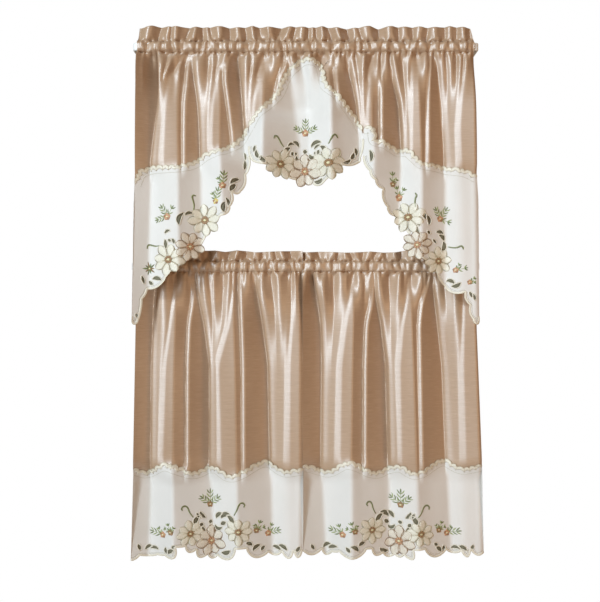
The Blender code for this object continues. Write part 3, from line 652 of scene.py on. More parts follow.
    def leaning(self, x):
        """How far the ruffle leans to the side at x."""
        return np.interp(x, *self.lean)

    def threads(self, z):
        """x and y of every thread at height z."""
        left, right = self.side_edges(z)
        x = np.linspace(left, right, int((right - left) / CROSS_STEP) + 1)
        step = x[1] - x[0]
        kept, spare, walls = [(part[1:] + part[:-1]) / 2 for part in self.slopes(x, z)]
        white = self.white_share(x, z)
        covered = np.mean(white)
        share = FOLDED_SHARE + (WHITE_FOLDED - FOLDED_SHARE) * covered
        wanted = share * self.cut_width / (right - left)
        periods = self.periods(x[:-1], z, walls)
        low, high = 0.0, DEEPEST
        for _ in range(HALVINGS):
            scale = (low + high) / 2
            filled = self.levelled(kept + scale * spare, periods, white[1:],
                                   int(WHITE_WINDOW / step))
            if np.mean(np.hypot(1.0, filled)) < wanted:
                low = scale
            else:
                high = scale
        y = np.concatenate([[0.0], np.cumsum(filled)]) * step
        u = np.concatenate([[0.0], np.cumsum(np.hypot(1.0, filled))]) * step
        y = y - y[-1] * (x - left) / (right - left)
        window = int(WANDER_WINDOW / step)
        padded = np.pad(y, window // 2, mode="reflect")
        wander = np.convolve(padded, np.ones(window) / window, mode="valid")[:len(y)]
        settled = ease((self.lower - z) / SETTLE_DEPTH)
        if z > self.lower:
            settled = 0.0
        reach = FRONT_REACH - WHITE_BACK * covered
        y = y - (1.0 - settled) * wander - settled * (self.front_line(x, y, z) + reach)
        u = u * self.cut_width / u[-1]
        return np.interp(self.u, u, x), np.interp(self.u, u, y) + self.plane

    def periods(self, x, z, walls):
        """From each streak to the next: the whole stretch, and how far each step is a wall."""
        fronts = [place for place, kind in zip(self.line_places(z), self.kinds)
                  if kind == "streak"]
        ends = [x[0] - 1.0] + fronts + [x[-1] + 1.0]
        result = []
        for first, last in zip(ends[:-1], ends[1:]):
            here = np.nonzero((x >= first) & (x < last))[0]
            total = walls[here].sum()
            if total > 0.0:
                result.append((here, walls[here] / max(total, LEAST_WALL)))
        return result

    def levelled(self, slopes, periods, white, window):
        """Slopes with their walls lengthened until every front stands level.

        In white cloth the change is spread out, so that it leaves no edge in a lit side.
        """
        change = np.zeros(len(slopes))
        for here, walls in periods:
            change[here] -= slopes[here].sum() * walls
        padded = np.pad(change, window, mode="edge")
        spread = np.convolve(padded, np.ones(window) / window, mode="same")[window:-window]
        return slopes + (1.0 - white) * change + white * spread

    def front_line(self, x, y, z):
        """Where the fronts of the folds would stand if nothing drew them level."""
        places = self.line_places(z)
        fronts = np.array([p for p, kind in zip(places, self.kinds) if kind == "streak"])
        levels = np.interp(fronts, x, y)
        place = np.clip(x, fronts[0], fronts[-1])
        index = np.clip(np.searchsorted(fronts, place, side="right") - 1, 0, len(fronts) - 2)
        share = (place - fronts[index]) / (fronts[index + 1] - fronts[index])
        return levels[index] + (levels[index + 1] - levels[index]) * ease(share)

    # ------------------------------------------------ tables of the body of the cloth
    def hang(self, lowest):
        """Works out the body's surface, from the lower stitches down to its lowest point."""
        depths = [0.0]
        while self.lower - depths[-1] > lowest:
            drop = min(LONGEST_DROP, FIRST_DROP + DROP_GROWTH * depths[-1])
            depths.append(depths[-1] + drop)
        self.levels = self.lower - np.array(depths)
        rows = [self.threads(z) for z in self.levels]
        self.x = np.array([row[0] for row in rows])
        self.y = np.array([row[1] for row in rows])
        for size, across, down, phase in self.uneven:
            wave = np.sin(across * self.u[None, :] + down * self.levels[:, None] + phase)
            self.y += size * wave * ease((self.lower - self.levels) / UNEVEN_DROP)[:, None]
        xu = np.gradient(self.x, self.u, axis=1)
        yu = np.gradient(self.y, self.u, axis=1)
        xz = np.gradient(self.x, self.levels, axis=0)
        yz = np.gradient(self.y, self.levels, axis=0)
        normal = np.stack([yu, -xu, xu * yz - yu * xz])
        self.normal = normal / np.linalg.norm(normal, axis=0)
        self.grid = np.arange(self.x.min() - 2.0, self.x.max() + 2.0, 1.0)
        self.inverse = np.array([np.interp(self.grid, row, self.u) for row in self.x])
        return self

    def rows_of(self, z):
        """Where height z comes among the rows of the tables."""
        return np.interp(-np.asarray(z, float), -self.levels, np.arange(len(self.levels)))

    def thread_at(self, x, z):
        """The thread that hangs at x, at height z."""
        columns = np.asarray(x, float) - self.grid[0]
        return bilinear(self.inverse, self.rows_of(z), columns)

    def surface(self, u, z, forward=0.0):
        """Points at height z on the threads u, `forward` in front of the cloth."""
        u, z = np.asarray(u, float), np.asarray(z, float)
        rows, columns = self.rows_of(z), u / self.u[1]
        points = np.stack([bilinear(self.x, rows, columns), bilinear(self.y, rows, columns), z])
        normal = np.stack([bilinear(part, rows, columns) for part in self.normal])
        return (points + normal * forward).T

    def hung(self, x, z, forward=0.0):
        """Points of the cloth that hang at x and height z, `forward` in front of it."""
        return self.surface(self.thread_at(x, z), z, forward)


def bilinear(table, rows, columns):
    """Values between the rows and columns of a table."""
    rows = np.clip(rows, 0, table.shape[0] - 1.001)
    columns = np.clip(columns, 0, table.shape[1] - 1.001)
    row, column = rows.astype(int), columns.astype(int)
    down, across = rows - row, columns - column
    upper = table[row, column] * (1 - across) + table[row, column + 1] * across
    lower = table[row + 1, column] * (1 - across) + table[row + 1, column + 1] * across
    return upper * (1 - down) + lower * down


# ---------------------------------------------------------------- outlines, as hung
def wavy(points, x):
    """Height at x of a soft wave through the points, each of them a crest or a dip."""
    xs = np.array([point[0] for point in points])
    zs = np.array([point[1] for point in points])
    x = np.clip(x, xs[0], xs[-1])
    index = np.clip(np.searchsorted(xs, x, side="right") - 1, 0, len(xs) - 2)
    share = (x - xs[index]) / (xs[index + 1] - xs[index])
    return zs[index] + (zs[index + 1] - zs[index]) * ease(share)


def evenly(path, step):
    """The same path with its points a step apart."""
    length = np.concatenate([[0.0], np.cumsum(np.hypot(*np.diff(path, axis=0).T))])
    count = max(2, int(round(length[-1] / step)) + 1)
    along = np.linspace(0.0, length[-1], count)
    return np.column_stack([np.interp(along, length, path[:, axis]) for axis in (0, 1)])


def smooth(path, rounds):
    """The same path with its corners rounded, a little more in every round."""
    for _ in range(rounds):
        inner = (path[:-2] + 2 * path[1:-1] + path[2:]) / 4
        path = np.vstack([path[:1], inner, path[-1:]])
    return path


def left_of(path, closed=False):
    """Unit directions to the left of a path, seen with X to the right and Z up."""
    if closed:
        along = np.roll(path, -1, axis=0) - np.roll(path, 1, axis=0)
    else:
        along = np.gradient(path, axis=0)
    along /= np.maximum(np.linalg.norm(along, axis=1), 1e-9)[:, None]
    return np.column_stack([-along[:, 1], along[:, 0]])


def scallop_cuts(length, pitch, seed):
    """Where one scallop ends and the next starts along an edge, unevenly spaced."""
    count = max(1, round(length / pitch))
    cuts = np.linspace(0.0, length, count + 1)
    shift = np.random.default_rng(seed).uniform(-0.22, 0.22, count - 1) * pitch
    cuts[1:-1] += shift
    return cuts


def scalloped(path, pitch, depth, side, seed):
    """Small round scallops along a path: side is 1 where they stand out to its left."""
    path = evenly(path, 1.0)
    length = np.concatenate([[0.0], np.cumsum(np.hypot(*np.diff(path, axis=0).T))])
    cuts = scallop_cuts(length[-1], pitch, seed)
    index = np.clip(np.searchsorted(cuts, length, side="right") - 1, 0, len(cuts) - 2)
    widths = np.diff(cuts)[index]
    share = (length - cuts[index]) / widths
    lobes = np.maximum(np.sin(math.pi * share), 0.0) ** 0.6 * np.sqrt(widths / pitch)
    return path + left_of(smooth(path, 8)) * (side * depth * lobes)[:, None]


def lobed(notches):
    """A hem of round lobes that bulge out to the right of the line through its notches."""
    pieces = []
    for (x0, z0, drop), (x1, z1, _) in zip(notches[:-1], notches[1:]):
        start, end = np.array([x0, z0]), np.array([x1, z1])
        along = end - start
        outward = np.array([along[1], -along[0]]) / np.hypot(*along)
        share = np.linspace(0.0, 1.0, 24, endpoint=False)[:, None]
        pieces.append(start + along * share + outward * drop * np.sin(math.pi * share) ** 0.7)
    return np.vstack(pieces + [np.array([notches[-1][:2]])])


# ---------------------------------------------------------------- meshes
def new_piece(name, points, faces, material, uvs=None, colours=None):
    """A smooth piece from points in millimetres, with the cloth's UV and its thread colours."""
    mesh = bpy.data.meshes.new(name)
    mesh.from_pydata([tuple(p) for p in np.asarray(points) * MM], [], faces)
    mesh.materials.append(material)
    corners = np.empty(len(mesh.loops), dtype=np.int32)
    mesh.loops.foreach_get("vertex_index", corners)
    if uvs is not None:
        layer = mesh.uv_layers.new(name="cloth")
        layer.data.foreach_set("uv", (np.asarray(uvs) * MM)[corners].astype(np.float32).ravel())
    if colours is not None:
        attribute = mesh.color_attributes.new("thread", "FLOAT_COLOR", "POINT")
        rgba = np.column_stack([colours, np.ones(len(colours))]).astype(np.float32)
        attribute.data.foreach_set("color", rgba.ravel())
    mesh.shade_smooth()
    mesh.update()
    piece = bpy.data.objects.new(name, mesh)
    bpy.context.scene.collection.objects.link(piece)
    return piece


def thicken(piece, offset):
    """Gives a piece the cloth's thickness: offset is 0 to both sides and -1 to its back."""
    modifier = piece.modifiers.new("thickness", "SOLIDIFY")
    modifier.thickness = CLOTH * MM
    modifier.offset = offset
    modifier.use_even_offset = False
    depsgraph = bpy.context.evaluated_depsgraph_get()
    mesh = bpy.data.meshes.new_from_object(piece.evaluated_get(depsgraph),
                                           preserve_all_data_layers=True, depsgraph=depsgraph)
    piece.modifiers.clear()
    mesh.set_sharp_from_angle(angle=math.radians(SHARP))
    old = piece.data
    piece.data = mesh
    bpy.data.meshes.remove(old)
    return piece


# ---------------------------------------------------------------- satin
def pocket_share(drape, z):
    """How far the cloth stands open round the rod: none at the stitches, most between."""
    share = np.clip((z - drape.lower) / (drape.upper - drape.lower), 0.0, 1.0)
    return np.sin(math.pi * share) ** 0.45 if 0.0 < share < 1.0 else 0.0


def heading_row(drape, z, layer):
    """A row of the ruffle or pocket: layer is -1 in front and 1 behind."""
    x, y = drape.threads(z)
    wave = y - drape.plane
    bulge = pocket_share(drape, z)
    kept = 1.0 - bulge * (1.0 - POCKET_WAVE)
    wave = wave * kept
    y = drape.plane + wave + layer * bulge * (ROD_REACH + np.abs(wave).max() * POCKET_SLACK)
    climb = np.clip((z - drape.upper) / (drape.ruffle - UPPER_STITCH), 0.0, 1.0)
    height = z + climb * (np.interp(x, *drape.rise) + LEAN_RISE * (y - drape.plane))
    gap = FRONT_GAP if layer < 0 else BACK_GAP
    return np.stack([x, y + layer * gap, height], axis=1)


def satin_piece(name, drape, seam, grid, material):
    """Ruffle, pocket and body of one satin cloth, with the heading turned down behind.

    Its rows run up the back, over the ruffle's top edge, and down the front to the seam.
    They stand closer together near the top edge and near the lower stitches.
    """
    columns, body_rows = grid
    top = drape.rod_z + drape.ruffle
    behind = list(np.linspace(drape.lower - TURNED_DOWN, drape.lower, 3))
    behind += list(np.linspace(drape.lower, drape.upper, 8))[1:]
    behind += list(drape.upper + (top - drape.upper) * np.linspace(0, 1, 8) ** 1.3)[1:-1]
    before = list(drape.upper + (top - drape.upper) * np.linspace(1, 0, 12) ** 1.3)
    before += list(np.linspace(drape.upper, drape.lower, 14))[1:]
    threads = np.linspace(0.0, drape.cut_width, columns + 1)
    pick = np.linspace(0, len(drape.u) - 1, columns + 1)
    rows, levels = [], []
    for z in behind:
        rows.append(heading_row(drape, z, 1.0))
        levels.append(2 * top - z)
    ridge = heading_row(drape, top, 0.0)
    ridge[:, 2] += 0.8
    rows.append(ridge)
    levels.append(top)
    for z in before:
        rows.append(heading_row(drape, z, -1.0))
        levels.append(z)
    rows = [np.column_stack([np.interp(pick, np.arange(len(row)), row[:, axis])
                             for axis in range(3)]) for row in rows]
    levels = [np.full(columns + 1, level) for level in levels]
    for share in (np.arange(1, body_rows + 1) / body_rows) ** 1.6:
        z = drape.lower + (seam - SEAM_OVERLAP - drape.lower) * share
        blend = math.exp(-share * 30.0)
        rows.append(drape.surface(threads, z, 0.5 * blend))
        levels.append(z)
    count = columns + 1
    points = np.vstack(rows)
    uvs = np.column_stack([np.tile(threads, len(rows)), np.concatenate(levels)])
    faces = [(row * count + column, row * count + column + 1,
              (row + 1) * count + column + 1, (row + 1) * count + column)
             for row in range(len(rows) - 1) for column in range(columns)]
    faces = [face[::-1] for face in faces]
    return thicken(new_piece(name, points, faces, material, uvs), 0.0)


def stitch_tree(material):
    """Short stitches end to end along a line, each with its own slight slant."""
    tree = bpy.data.node_groups.new("stitch_row", "GeometryNodeTree")
    sockets = tree.interface
    sockets.new_socket("Line", in_out="INPUT", socket_type="NodeSocketGeometry")
    sizes = (("Spacing", STITCH_SPACING), ("Length", STITCH_LENGTH), ("Width", STITCH_WIDTH))
    for name, size in sizes:
        socket = sockets.new_socket(name, in_out="INPUT", socket_type="NodeSocketFloat")
        socket.default_value = size * MM
    seed = sockets.new_socket("Seed", in_out="INPUT", socket_type="NodeSocketInt")
    seed.default_value = STITCH_SEED
    sockets.new_socket("Stitches", in_out="OUTPUT", socket_type="NodeSocketGeometry")

    given = tree.nodes.new("NodeGroupInput")
    result = tree.nodes.new("NodeGroupOutput")
    line = tree.nodes.new("GeometryNodeMeshToCurve")
    spaced = tree.nodes.new("GeometryNodeResampleCurve")
    spaced.mode = "LENGTH"
    tangent = tree.nodes.new("GeometryNodeInputTangent")
    slant = tree.nodes.new("FunctionNodeRandomValue")
    slant.data_type = "FLOAT_VECTOR"
    slant.inputs["Min"].default_value = (-STITCH_SLANT,) * 3
    slant.inputs["Max"].default_value = (STITCH_SLANT,) * 3
    leaning = tree.nodes.new("ShaderNodeVectorMath")
    turned = tree.nodes.new("FunctionNodeAlignRotationToVector")
    turned.axis = "Z"
    stitch = tree.nodes.new("GeometryNodeMeshUVSphere")
    stitch.inputs["Segments"].default_value = 6
    stitch.inputs["Rings"].default_value = 4
    stitch.inputs["Radius"].default_value = 0.5
    size = tree.nodes.new("ShaderNodeCombineXYZ")
    placed = tree.nodes.new("GeometryNodeInstanceOnPoints")
    real = tree.nodes.new("GeometryNodeRealizeInstances")
    finished = tree.nodes.new("GeometryNodeSetMaterial")
    finished.inputs["Material"].default_value = material

    def join(first, out, second, into):
        tree.links.new(first.outputs[out], second.inputs[into])

    join(given, "Line", line, "Mesh")
    join(line, "Curve", spaced, "Curve")
    join(given, "Spacing", spaced, "Length")
    join(given, "Seed", slant, "Seed")
    join(tangent, "Tangent", leaning, 0)
    join(slant, "Value", leaning, 1)
    join(leaning, "Vector", turned, "Vector")
    join(given, "Width", size, "X")
    join(given, "Width", size, "Y")
    join(given, "Length", size, "Z")
    join(spaced, "Curve", placed, "Points")
    join(stitch, "Mesh", placed, "Instance")
    join(turned, "Rotation", placed, "Rotation")
    join(size, "Vector", placed, "Scale")
    join(placed, "Instances", real, "Geometry")
    join(real, "Geometry", finished, "Geometry")
    join(finished, "Geometry", result, "Stitches")
    return tree


def stitch_rows(name, drape, tree):
    """The two rows of stitches that close the rod pocket of one satin cloth."""
    points, edges = [], []
    for z in (drape.lower, drape.upper):
        row = heading_row(drape, z, -1.0)[::2]
        row[:, 1] -= 0.35
        first = len(points)
        points += [tuple(point * MM) for point in row]
        edges += [(first + index, first + index + 1) for index in range(len(row) - 1)]
    mesh = bpy.data.meshes.new(name)
    mesh.from_pydata(points, edges, [])
    piece = bpy.data.objects.new(name, mesh)
    bpy.context.scene.collection.objects.link(piece)
    modifier = piece.modifiers.new("stitches", "NODES")
    modifier.node_group = tree
    for item in tree.interface.items_tree:
        if item.name == "Seed" and item.in_out == "INPUT":
            modifier[item.identifier] = len(name)
    depsgraph = bpy.context.evaluated_depsgraph_get()
    stitches = bpy.data.meshes.new_from_object(piece.evaluated_get(depsgraph),
                                               preserve_all_data_layers=True,
                                               depsgraph=depsgraph)
    piece.modifiers.clear()
    piece.data = stitches
    bpy.data.meshes.remove(mesh)
    stitches.shade_smooth()
    return piece


# ---------------------------------------------------------------- white cloth
def inside(polygon, points):
    """Which points lie inside a closed polygon."""
    result = np.zeros(len(points), dtype=bool)
    x, y = points[:, 0], points[:, 1]
    for (x0, y0), (x1, y1) in zip(polygon, np.roll(polygon, -1, axis=0)):
        if y0 == y1:
            continue
        crosses = (y0 > y) != (y1 > y)
        result ^= crosses & (x < (x1 - x0) * (y - y0) / (y1 - y0) + x0)
    return result


def in_any(shapes, points):
    """Which points lie inside at least one of the closed polygons."""
    result = np.zeros(len(points), dtype=bool)
    for shape in shapes:
        result |= inside(shape, points)
    return result


def white_piece(name, drape, outline, petals, holes, material):
    """White cloth cut to an outline and the petals that stand out from it, with its holes.

    The mesh is laid out flat, on the cloth's threads: every edge, and between them a field
    of points that keep clear of the edges.
    """
    def on_cloth(path):
        return np.column_stack([drape.thread_at(path[:, 0], path[:, 1]), path[:, 1]])

    rim = on_cloth(outline)
    cuts = [on_cloth(hole) for hole in holes]
    added = [on_cloth(petal) for petal in petals]
    added = [petal for petal in added if not inside(rim, petal).all()]
    shapes = [rim] + added
    corners = np.vstack(shapes)
    low, high = corners.min(0), corners.max(0)
    across = np.arange(low[0], high[0], WHITE_SPACING)
    down = np.arange(low[1], high[1], WHITE_SPACING)
    field = np.array([(a + (WHITE_SPACING / 2 if index % 2 else 0.0), d)
                      for index, d in enumerate(down) for a in across])
    field = field[in_any(shapes, field)]
    borders = np.vstack(shapes + cuts)
    keep = np.ones(len(field), dtype=bool)
    for start in range(0, len(field), 2000):
        part = field[start:start + 2000]
        gaps = ((part[:, None, :] - borders[None, :, :]) ** 2).sum(2).min(1)
        keep[start:start + 2000] = gaps > (0.45 * WHITE_SPACING) ** 2
    field = field[keep]
    for cut in cuts:
        field = field[~inside(cut, field)]
    vertices = [tuple(p) for p in np.vstack([borders, field])]
    edges, start = [], 0
    for loop in shapes + cuts:
        count = len(loop)
        edges += [(start + i, start + (i + 1) % count) for i in range(count)]
        start += count
    flat, _, faces = delaunay_2d_cdt(vertices, edges, [], 1, 0.001)[:3]
    flat = np.array([tuple(p) for p in flat])
    faces = np.array([tuple(face) for face in faces if len(face) == 3])
    middles = flat[faces].mean(1)
    wanted = in_any(shapes, middles)
    for cut in cuts:
        wanted &= ~inside(cut, middles)
    faces = faces[wanted]
    used, faces = np.unique(faces, return_inverse=True)
    faces = faces.reshape(-1, 3)
    flat = flat[used]
    a, b, c = (flat[faces[:, i]] for i in range(3))
    turned = (b[:, 0] - a[:, 0]) * (c[:, 1] - a[:, 1]) - (b[:, 1] - a[:, 1]) * (c[:, 0] - a[:, 0])
    faces[turned < 0] = faces[turned < 0][:, ::-1]
    points = drape.surface(flat[:, 0], flat[:, 1], WHITE_FORWARD)
    piece = new_piece(name, points, [tuple(int(i) for i in face) for face in faces], material,
                      flat)
    return thicken(piece, -1.0)


# ---------------------------------------------------------------- embroidery
SECTION = ((-1.0, 0.0), (-0.6, 0.75), (0.0, 1.0), (0.6, 0.75), (1.0, 0.0), (0.0, -0.3))


class Needlework:
    """Raised threads on one cloth, and the holes cut into it.

    Half widths and heights of the bands of stitch are in millimetres.
    """

    def __init__(self, drape):
        self.drape = drape
        self.places, self.heights, self.colours, self.along = [], [], [], []
        self.faces = []
        self.count = 0
        self.holes, self.nets, self.petals = [], [], []

    def thread(self, path, half_width, height, colour, closed=False):
        """A band of satin stitch along a path, half_width to either side of it."""
        path = np.asarray(path, float)
        half = np.broadcast_to(half_width, len(path))[:, None]
        side = left_of(path, closed)
        stations = len(path)
        ring = len(SECTION)
        travel = np.concatenate([[0.0], np.cumsum(np.hypot(*np.diff(path, axis=0).T))])
        for across, lift in SECTION:
            self.places.append(path - side * half * across)
            scaled = height * lift if lift >= 0 else lift
            self.heights.append(np.full(stations, scaled))
            self.along.append(np.column_stack([travel, half[:, 0] * across]))
        self.colours.append(np.tile(THREADS[colour], (stations * ring, 1)))
        spans = stations if closed else stations - 1
        for index in range(spans):
            following = (index + 1) % stations
            for around in range(ring):
                beyond = (around + 1) % ring
                self.faces.append((self.count + around * stations + index,
                                   self.count + beyond * stations + index,
                                   self.count + beyond * stations + following,
                                   self.count + around * stations + following))
        if not closed:
            first = [self.count + around * stations for around in range(ring)]
            last = [first[around] + stations - 1 for around in range(ring)]
            self.faces.append(tuple(first[::-1]))
            self.faces.append(tuple(last))
        self.count += stations * ring

    def leaf(self, base, angle, length, width, colour, bend=0.0, height=0.7):
        """A leaf in one band of stitch, broadest in its middle."""
        path, half = leaf_shape(base, angle, length, width, bend, LEAF_STATIONS)
        self.thread(path, half, height, colour)

    def spray(self, base, angle, length):
        """A stem with narrow leaves in pairs and one at its tip."""
        base = np.array(base, float)
        direction = np.array([math.cos(angle), math.sin(angle)])
        tip = base + direction * length * 0.72
        self.thread(np.linspace(base, tip, 4), 0.7, 0.5, "young leaf")
        pairs = max(2, int(length / 11.0))
        for pair in range(pairs):
            place = base + direction * length * (0.10 + 0.52 * pair / max(1, pairs - 1))
            size = 0.42 * length * (1.0 - 0.15 * pair / pairs) + 1.0
            for side in (-1, 1):
                colour = "leaf" if (pair + (side > 0)) % 2 else "young leaf"
                self.leaf(place, angle + side * math.radians(38), size, 3.7, colour,
                          bend=-side * 0.25, height=0.9)
        self.leaf(tip - direction * 3.0, angle, 0.38 * length, 4.0, "leaf", height=0.9)

    def knot(self, centre, radius, colour, height):
        """A round dot of stitches."""
        share = np.linspace(-1.0, 1.0, 6)
        path = np.array(centre) + np.column_stack([share * radius, np.zeros(6)])
        self.thread(path, radius * np.sqrt(np.maximum(1.0 - share ** 2, 0.02)), height, colour)

    def flower(self, x, z, radius, petals, turn, kind):
        """Broad petals in satin stitch with a fine outline, round an eye of short bars."""
        centre = np.array([x, z], float)
        if kind == "spiky":
            for index in range(SPIKES):
                turned = math.radians(turn + 360 / SPIKES * index)
                self.leaf(centre, turned, radius * (1.0 if index % 2 else 0.75), 5.0,
                          ("umber", "olive", "leaf")[index % 3], height=1.1)
            self.knot(centre, 3.4, "yellow", 2.3)
            return
        fill, outline = f"{kind} petal", f"{kind} outline"
        for petal in range(petals):
            angle = math.radians(turn) + 2 * math.pi * petal / petals
            direction = np.array([math.cos(angle), math.sin(angle)])
            length = radius * (PETAL_LENGTH + PETAL_VARIES * math.sin(2.3 * petal + turn))
            base = centre + direction * PETAL_FOOT * radius
            width = PETAL_WIDTH * math.pi * radius / petals
            bend = PETAL_BEND * math.sin(1.7 * petal)
            path, half = petal_shape(base, angle, length, width, bend)
            loop = edge_of(path, half)
            self.petals.append(loop)
            self.thread(path, half * 0.95, 0.8, fill)
            self.thread(loop, 0.45 if kind == "pale" else 0.85, 1.0, outline, closed=True)
            for side in PETAL_VEINS:
                reach = 7 if side == 0.0 else 5
                vein = path[:reach] + left_of(path)[:reach] * (half[:reach] * side)[:, None]
                self.thread(vein, 0.34, 0.95, outline)
        ring = max(10, int(radius / 3.0))
        for index in range(ring):
            angle = 2 * math.pi * index / ring
            direction = np.array([math.cos(angle), math.sin(angle)])
            colour = ("brown", "orange") if kind == "brown" else ("umber", "brown")
            self.leaf(centre + direction * BAR_FOOT * radius, angle, BAR_LENGTH * radius,
                      BAR_WIDTH * radius, colour[index % 2], height=1.8)
        self.knot(centre, EYE_RADIUS * radius, "yellow", 2.3)

    def bud(self, x, z, size, colour, sprays):
        """A small flower of five plain petals with sprays of leaves behind it."""
        centre = np.array([x, z], float)
        for angle, length in sprays:
            turn = math.radians(angle)
            direction = np.array([math.cos(turn), math.sin(turn)])
            self.spray(centre + direction * size * 0.5, turn, length)
        for index in range(5):
            turn = math.radians(90 + 72 * index)
            self.leaf(centre, turn, size, size * 1.1, "brown" if index in (1, 3) else colour,
                      height=1.4)
        self.knot(centre, size * 0.32, "yellow", 2.1)

    def tendril(self, points):
        """A stem through its points, thickest at its hooked end."""
        path = np.array(points, float)
        share = np.linspace(0.0, 1.0, len(path))
        fine = np.linspace(0.0, 1.0, TENDRIL_STATIONS)
        path = np.column_stack([np.interp(fine, share, path[:, axis]) for axis in (0, 1)])
        path = smooth(path, 3)
        self.thread(path, 0.8 + 1.9 * np.sin(math.pi * fine ** 1.5) ** 0.8, 1.0, "olive")
        self.thread(path + left_of(path) * 1.9, 0.6, 0.9, "young leaf")

    def cut(self, x0, z0, x1, z1, width, bulge):
        """A crescent-shaped hole with a stitched rim, backed with dark net."""
        start, end = np.array([x0, z0], float), np.array([x1, z1], float)
        along = end - start
        left = np.array([-along[1], along[0]]) / np.hypot(*along)
        share = np.linspace(-0.08, 1.08, HOLE_STATIONS)[:, None]
        path = start + along * share + left * bulge * 4 * share * (1 - share)
        bell = np.sin(math.pi * np.linspace(0.0, 1.0, HOLE_STATIONS))
        bell = np.maximum(bell, 0.0) ** 0.95
        half = 1.15 * width / 2 * bell + 0.2
        self.holes.append(edge_of(path, half))
        self.nets.append((path, half + 1.8))
        self.thread(edge_of(path, half + 1.2), 1.4, 1.2, "cream", closed=True)

    def motifs(self, flowers, buds, tendrils, cuts, place=None):
        """Works a whole spray; place moves and may mirror each of its points."""
        move = place or (lambda x, z: (x, z))
        mirror = move(1, 0)[0] < move(0, 0)[0]

        def facing(angle):
            return 180 - angle if mirror else angle

        for x0, z0, x1, z1, width, bulge in cuts:
            self.cut(*move(x0, z0), *move(x1, z1), width, -bulge if mirror else bulge)
        for points in tendrils:
            self.tendril([move(x, z) for x, z in points])
        for x, z, size, colour, sprays in buds:
            turned = [(facing(angle), length) for angle, length in sprays]
            self.bud(*move(x, z), size, colour, turned)
        for x, z, radius, petals, turn, kind in flowers:
            self.flower(*move(x, z), radius, petals, facing(turn), kind)

    def piece(self, name, material):
        """All the threads worked so far, hung in front of the white cloth."""
        places, heights = np.vstack(self.places), np.concatenate(self.heights)
        points = self.drape.hung(places[:, 0], places[:, 1], WHITE_FORWARD + heights)
        return new_piece(name, points, self.faces, material, np.vstack(self.along),
                         np.vstack(self.colours))

    def net(self, name, material):
        """Thin patches of net behind the holes."""
        places, heights, faces, count = [], [], [], 0
        for path, half in self.nets:
            side = left_of(path)
            stations = len(path)
            for across, depth in ((-1, 0.0), (1, 0.0), (1, 0.25), (-1, 0.25)):
                places.append(path - side * (half * across)[:, None])
                heights.append(np.full(stations, -NET_BEHIND - depth))
            for index in range(stations - 1):
                for around in range(4):
                    beyond = (around + 1) % 4
                    faces.append((count + around * stations + index,
                                  count + beyond * stations + index,
                                  count + beyond * stations + index + 1,
                                  count + around * stations + index + 1))
            first = [count + around * stations for around in range(4)]
            faces.append(tuple(first[::-1]))
            faces.append(tuple(corner + stations - 1 for corner in first))
            count += 4 * stations
        places, heights = np.vstack(places), np.concatenate(heights)
        points = self.drape.hung(places[:, 0], places[:, 1], WHITE_FORWARD + heights)
        return new_piece(name, points, faces, material, places)


def leaf_shape(base, angle, length, width, bend, stations):
    """Spine and half widths of a leaf: bend turns it to the left along its length."""
    share = np.linspace(0.0, 1.0, stations)
    turn = angle + bend * (share - 0.5) * 2.0
    step = length / (stations - 1)
    middle = (turn[1:] + turn[:-1]) / 2
    path = np.vstack([[0.0, 0.0], np.column_stack([np.cumsum(np.cos(middle)),
                                                   np.cumsum(np.sin(middle))]) * step])
    half = width / 2 * np.maximum(np.sin(math.pi * share), 0.0) ** LEAF_BLUNTNESS + 0.12
    return np.array(base, float) + path, half


def flat_area(drape, outline):
    """Area in square metres that a hung outline covers on the flat cloth."""
    u, z = drape.thread_at(outline[:, 0], outline[:, 1]), outline[:, 1]
    return 0.5 * abs(np.sum(u * np.roll(z, -1) - z * np.roll(u, -1))) * MM * MM


def edge_of(path, half):
    """The closed edge of a shape given by its spine and half widths."""
    side = left_of(path) * half[:, None]
    return np.vstack([path - side, (path + side)[::-1][1:-1]])


def petal_shape(base, angle, length, width, bend):
    """Spine and half widths of a petal, broadest towards its round tip."""
    path = leaf_shape(base, angle, length, width, bend, PETAL_STATIONS)[0]
    share = np.linspace(0.0, 1.0, PETAL_STATIONS)
    half = width / 2 * np.maximum(np.sin(math.pi * share ** 1.30), 0.0) ** 0.72 + 0.35
    return path, half


def scallop_edge(work, path, side, pitch, seed):
    """Padded scallops along the top edge, with a fine line of stitches inside them."""
    edge = evenly(scalloped(path, pitch, SCALLOP_DEPTH, side, seed), 1.6)
    base = evenly(path, 1.0)
    smooth_base = smooth(base, 25)
    outward = left_of(smooth_base) * side
    length = np.concatenate([[0.0], np.cumsum(np.hypot(*np.diff(base, axis=0).T))])
    cuts = scallop_cuts(length[-1], pitch, seed)
    inward = -left_of(smooth(edge, 2)) * side
    for inset, half_width, height, colour in SCALLOP_BANDS:
        work.thread(edge + inward * inset, half_width, height, colour)
    for place in cuts[1:-1]:
        index = int(np.clip(np.searchsorted(length, place), 0, len(base) - 1))
        tip = base[index] + outward[index] * 0.5
        work.thread(np.linspace(tip, tip - outward[index] * SCALLOP_BAR, 4), 0.7, 1.5, "tip")
    work.thread(evenly(smooth_base - outward * SCALLOP_LINE, 2.5), 0.5, 0.5, "line")
    return edge


def runs_outside(path, shapes):
    """The parts of a path that lie outside all of the shapes."""
    free = ~in_any(shapes, path)
    cuts = np.nonzero(np.diff(free.astype(int)))[0] + 1
    parts = np.split(np.arange(len(path)), cuts)
    return [part for part in parts if free[part[0]] and len(part) > 3]


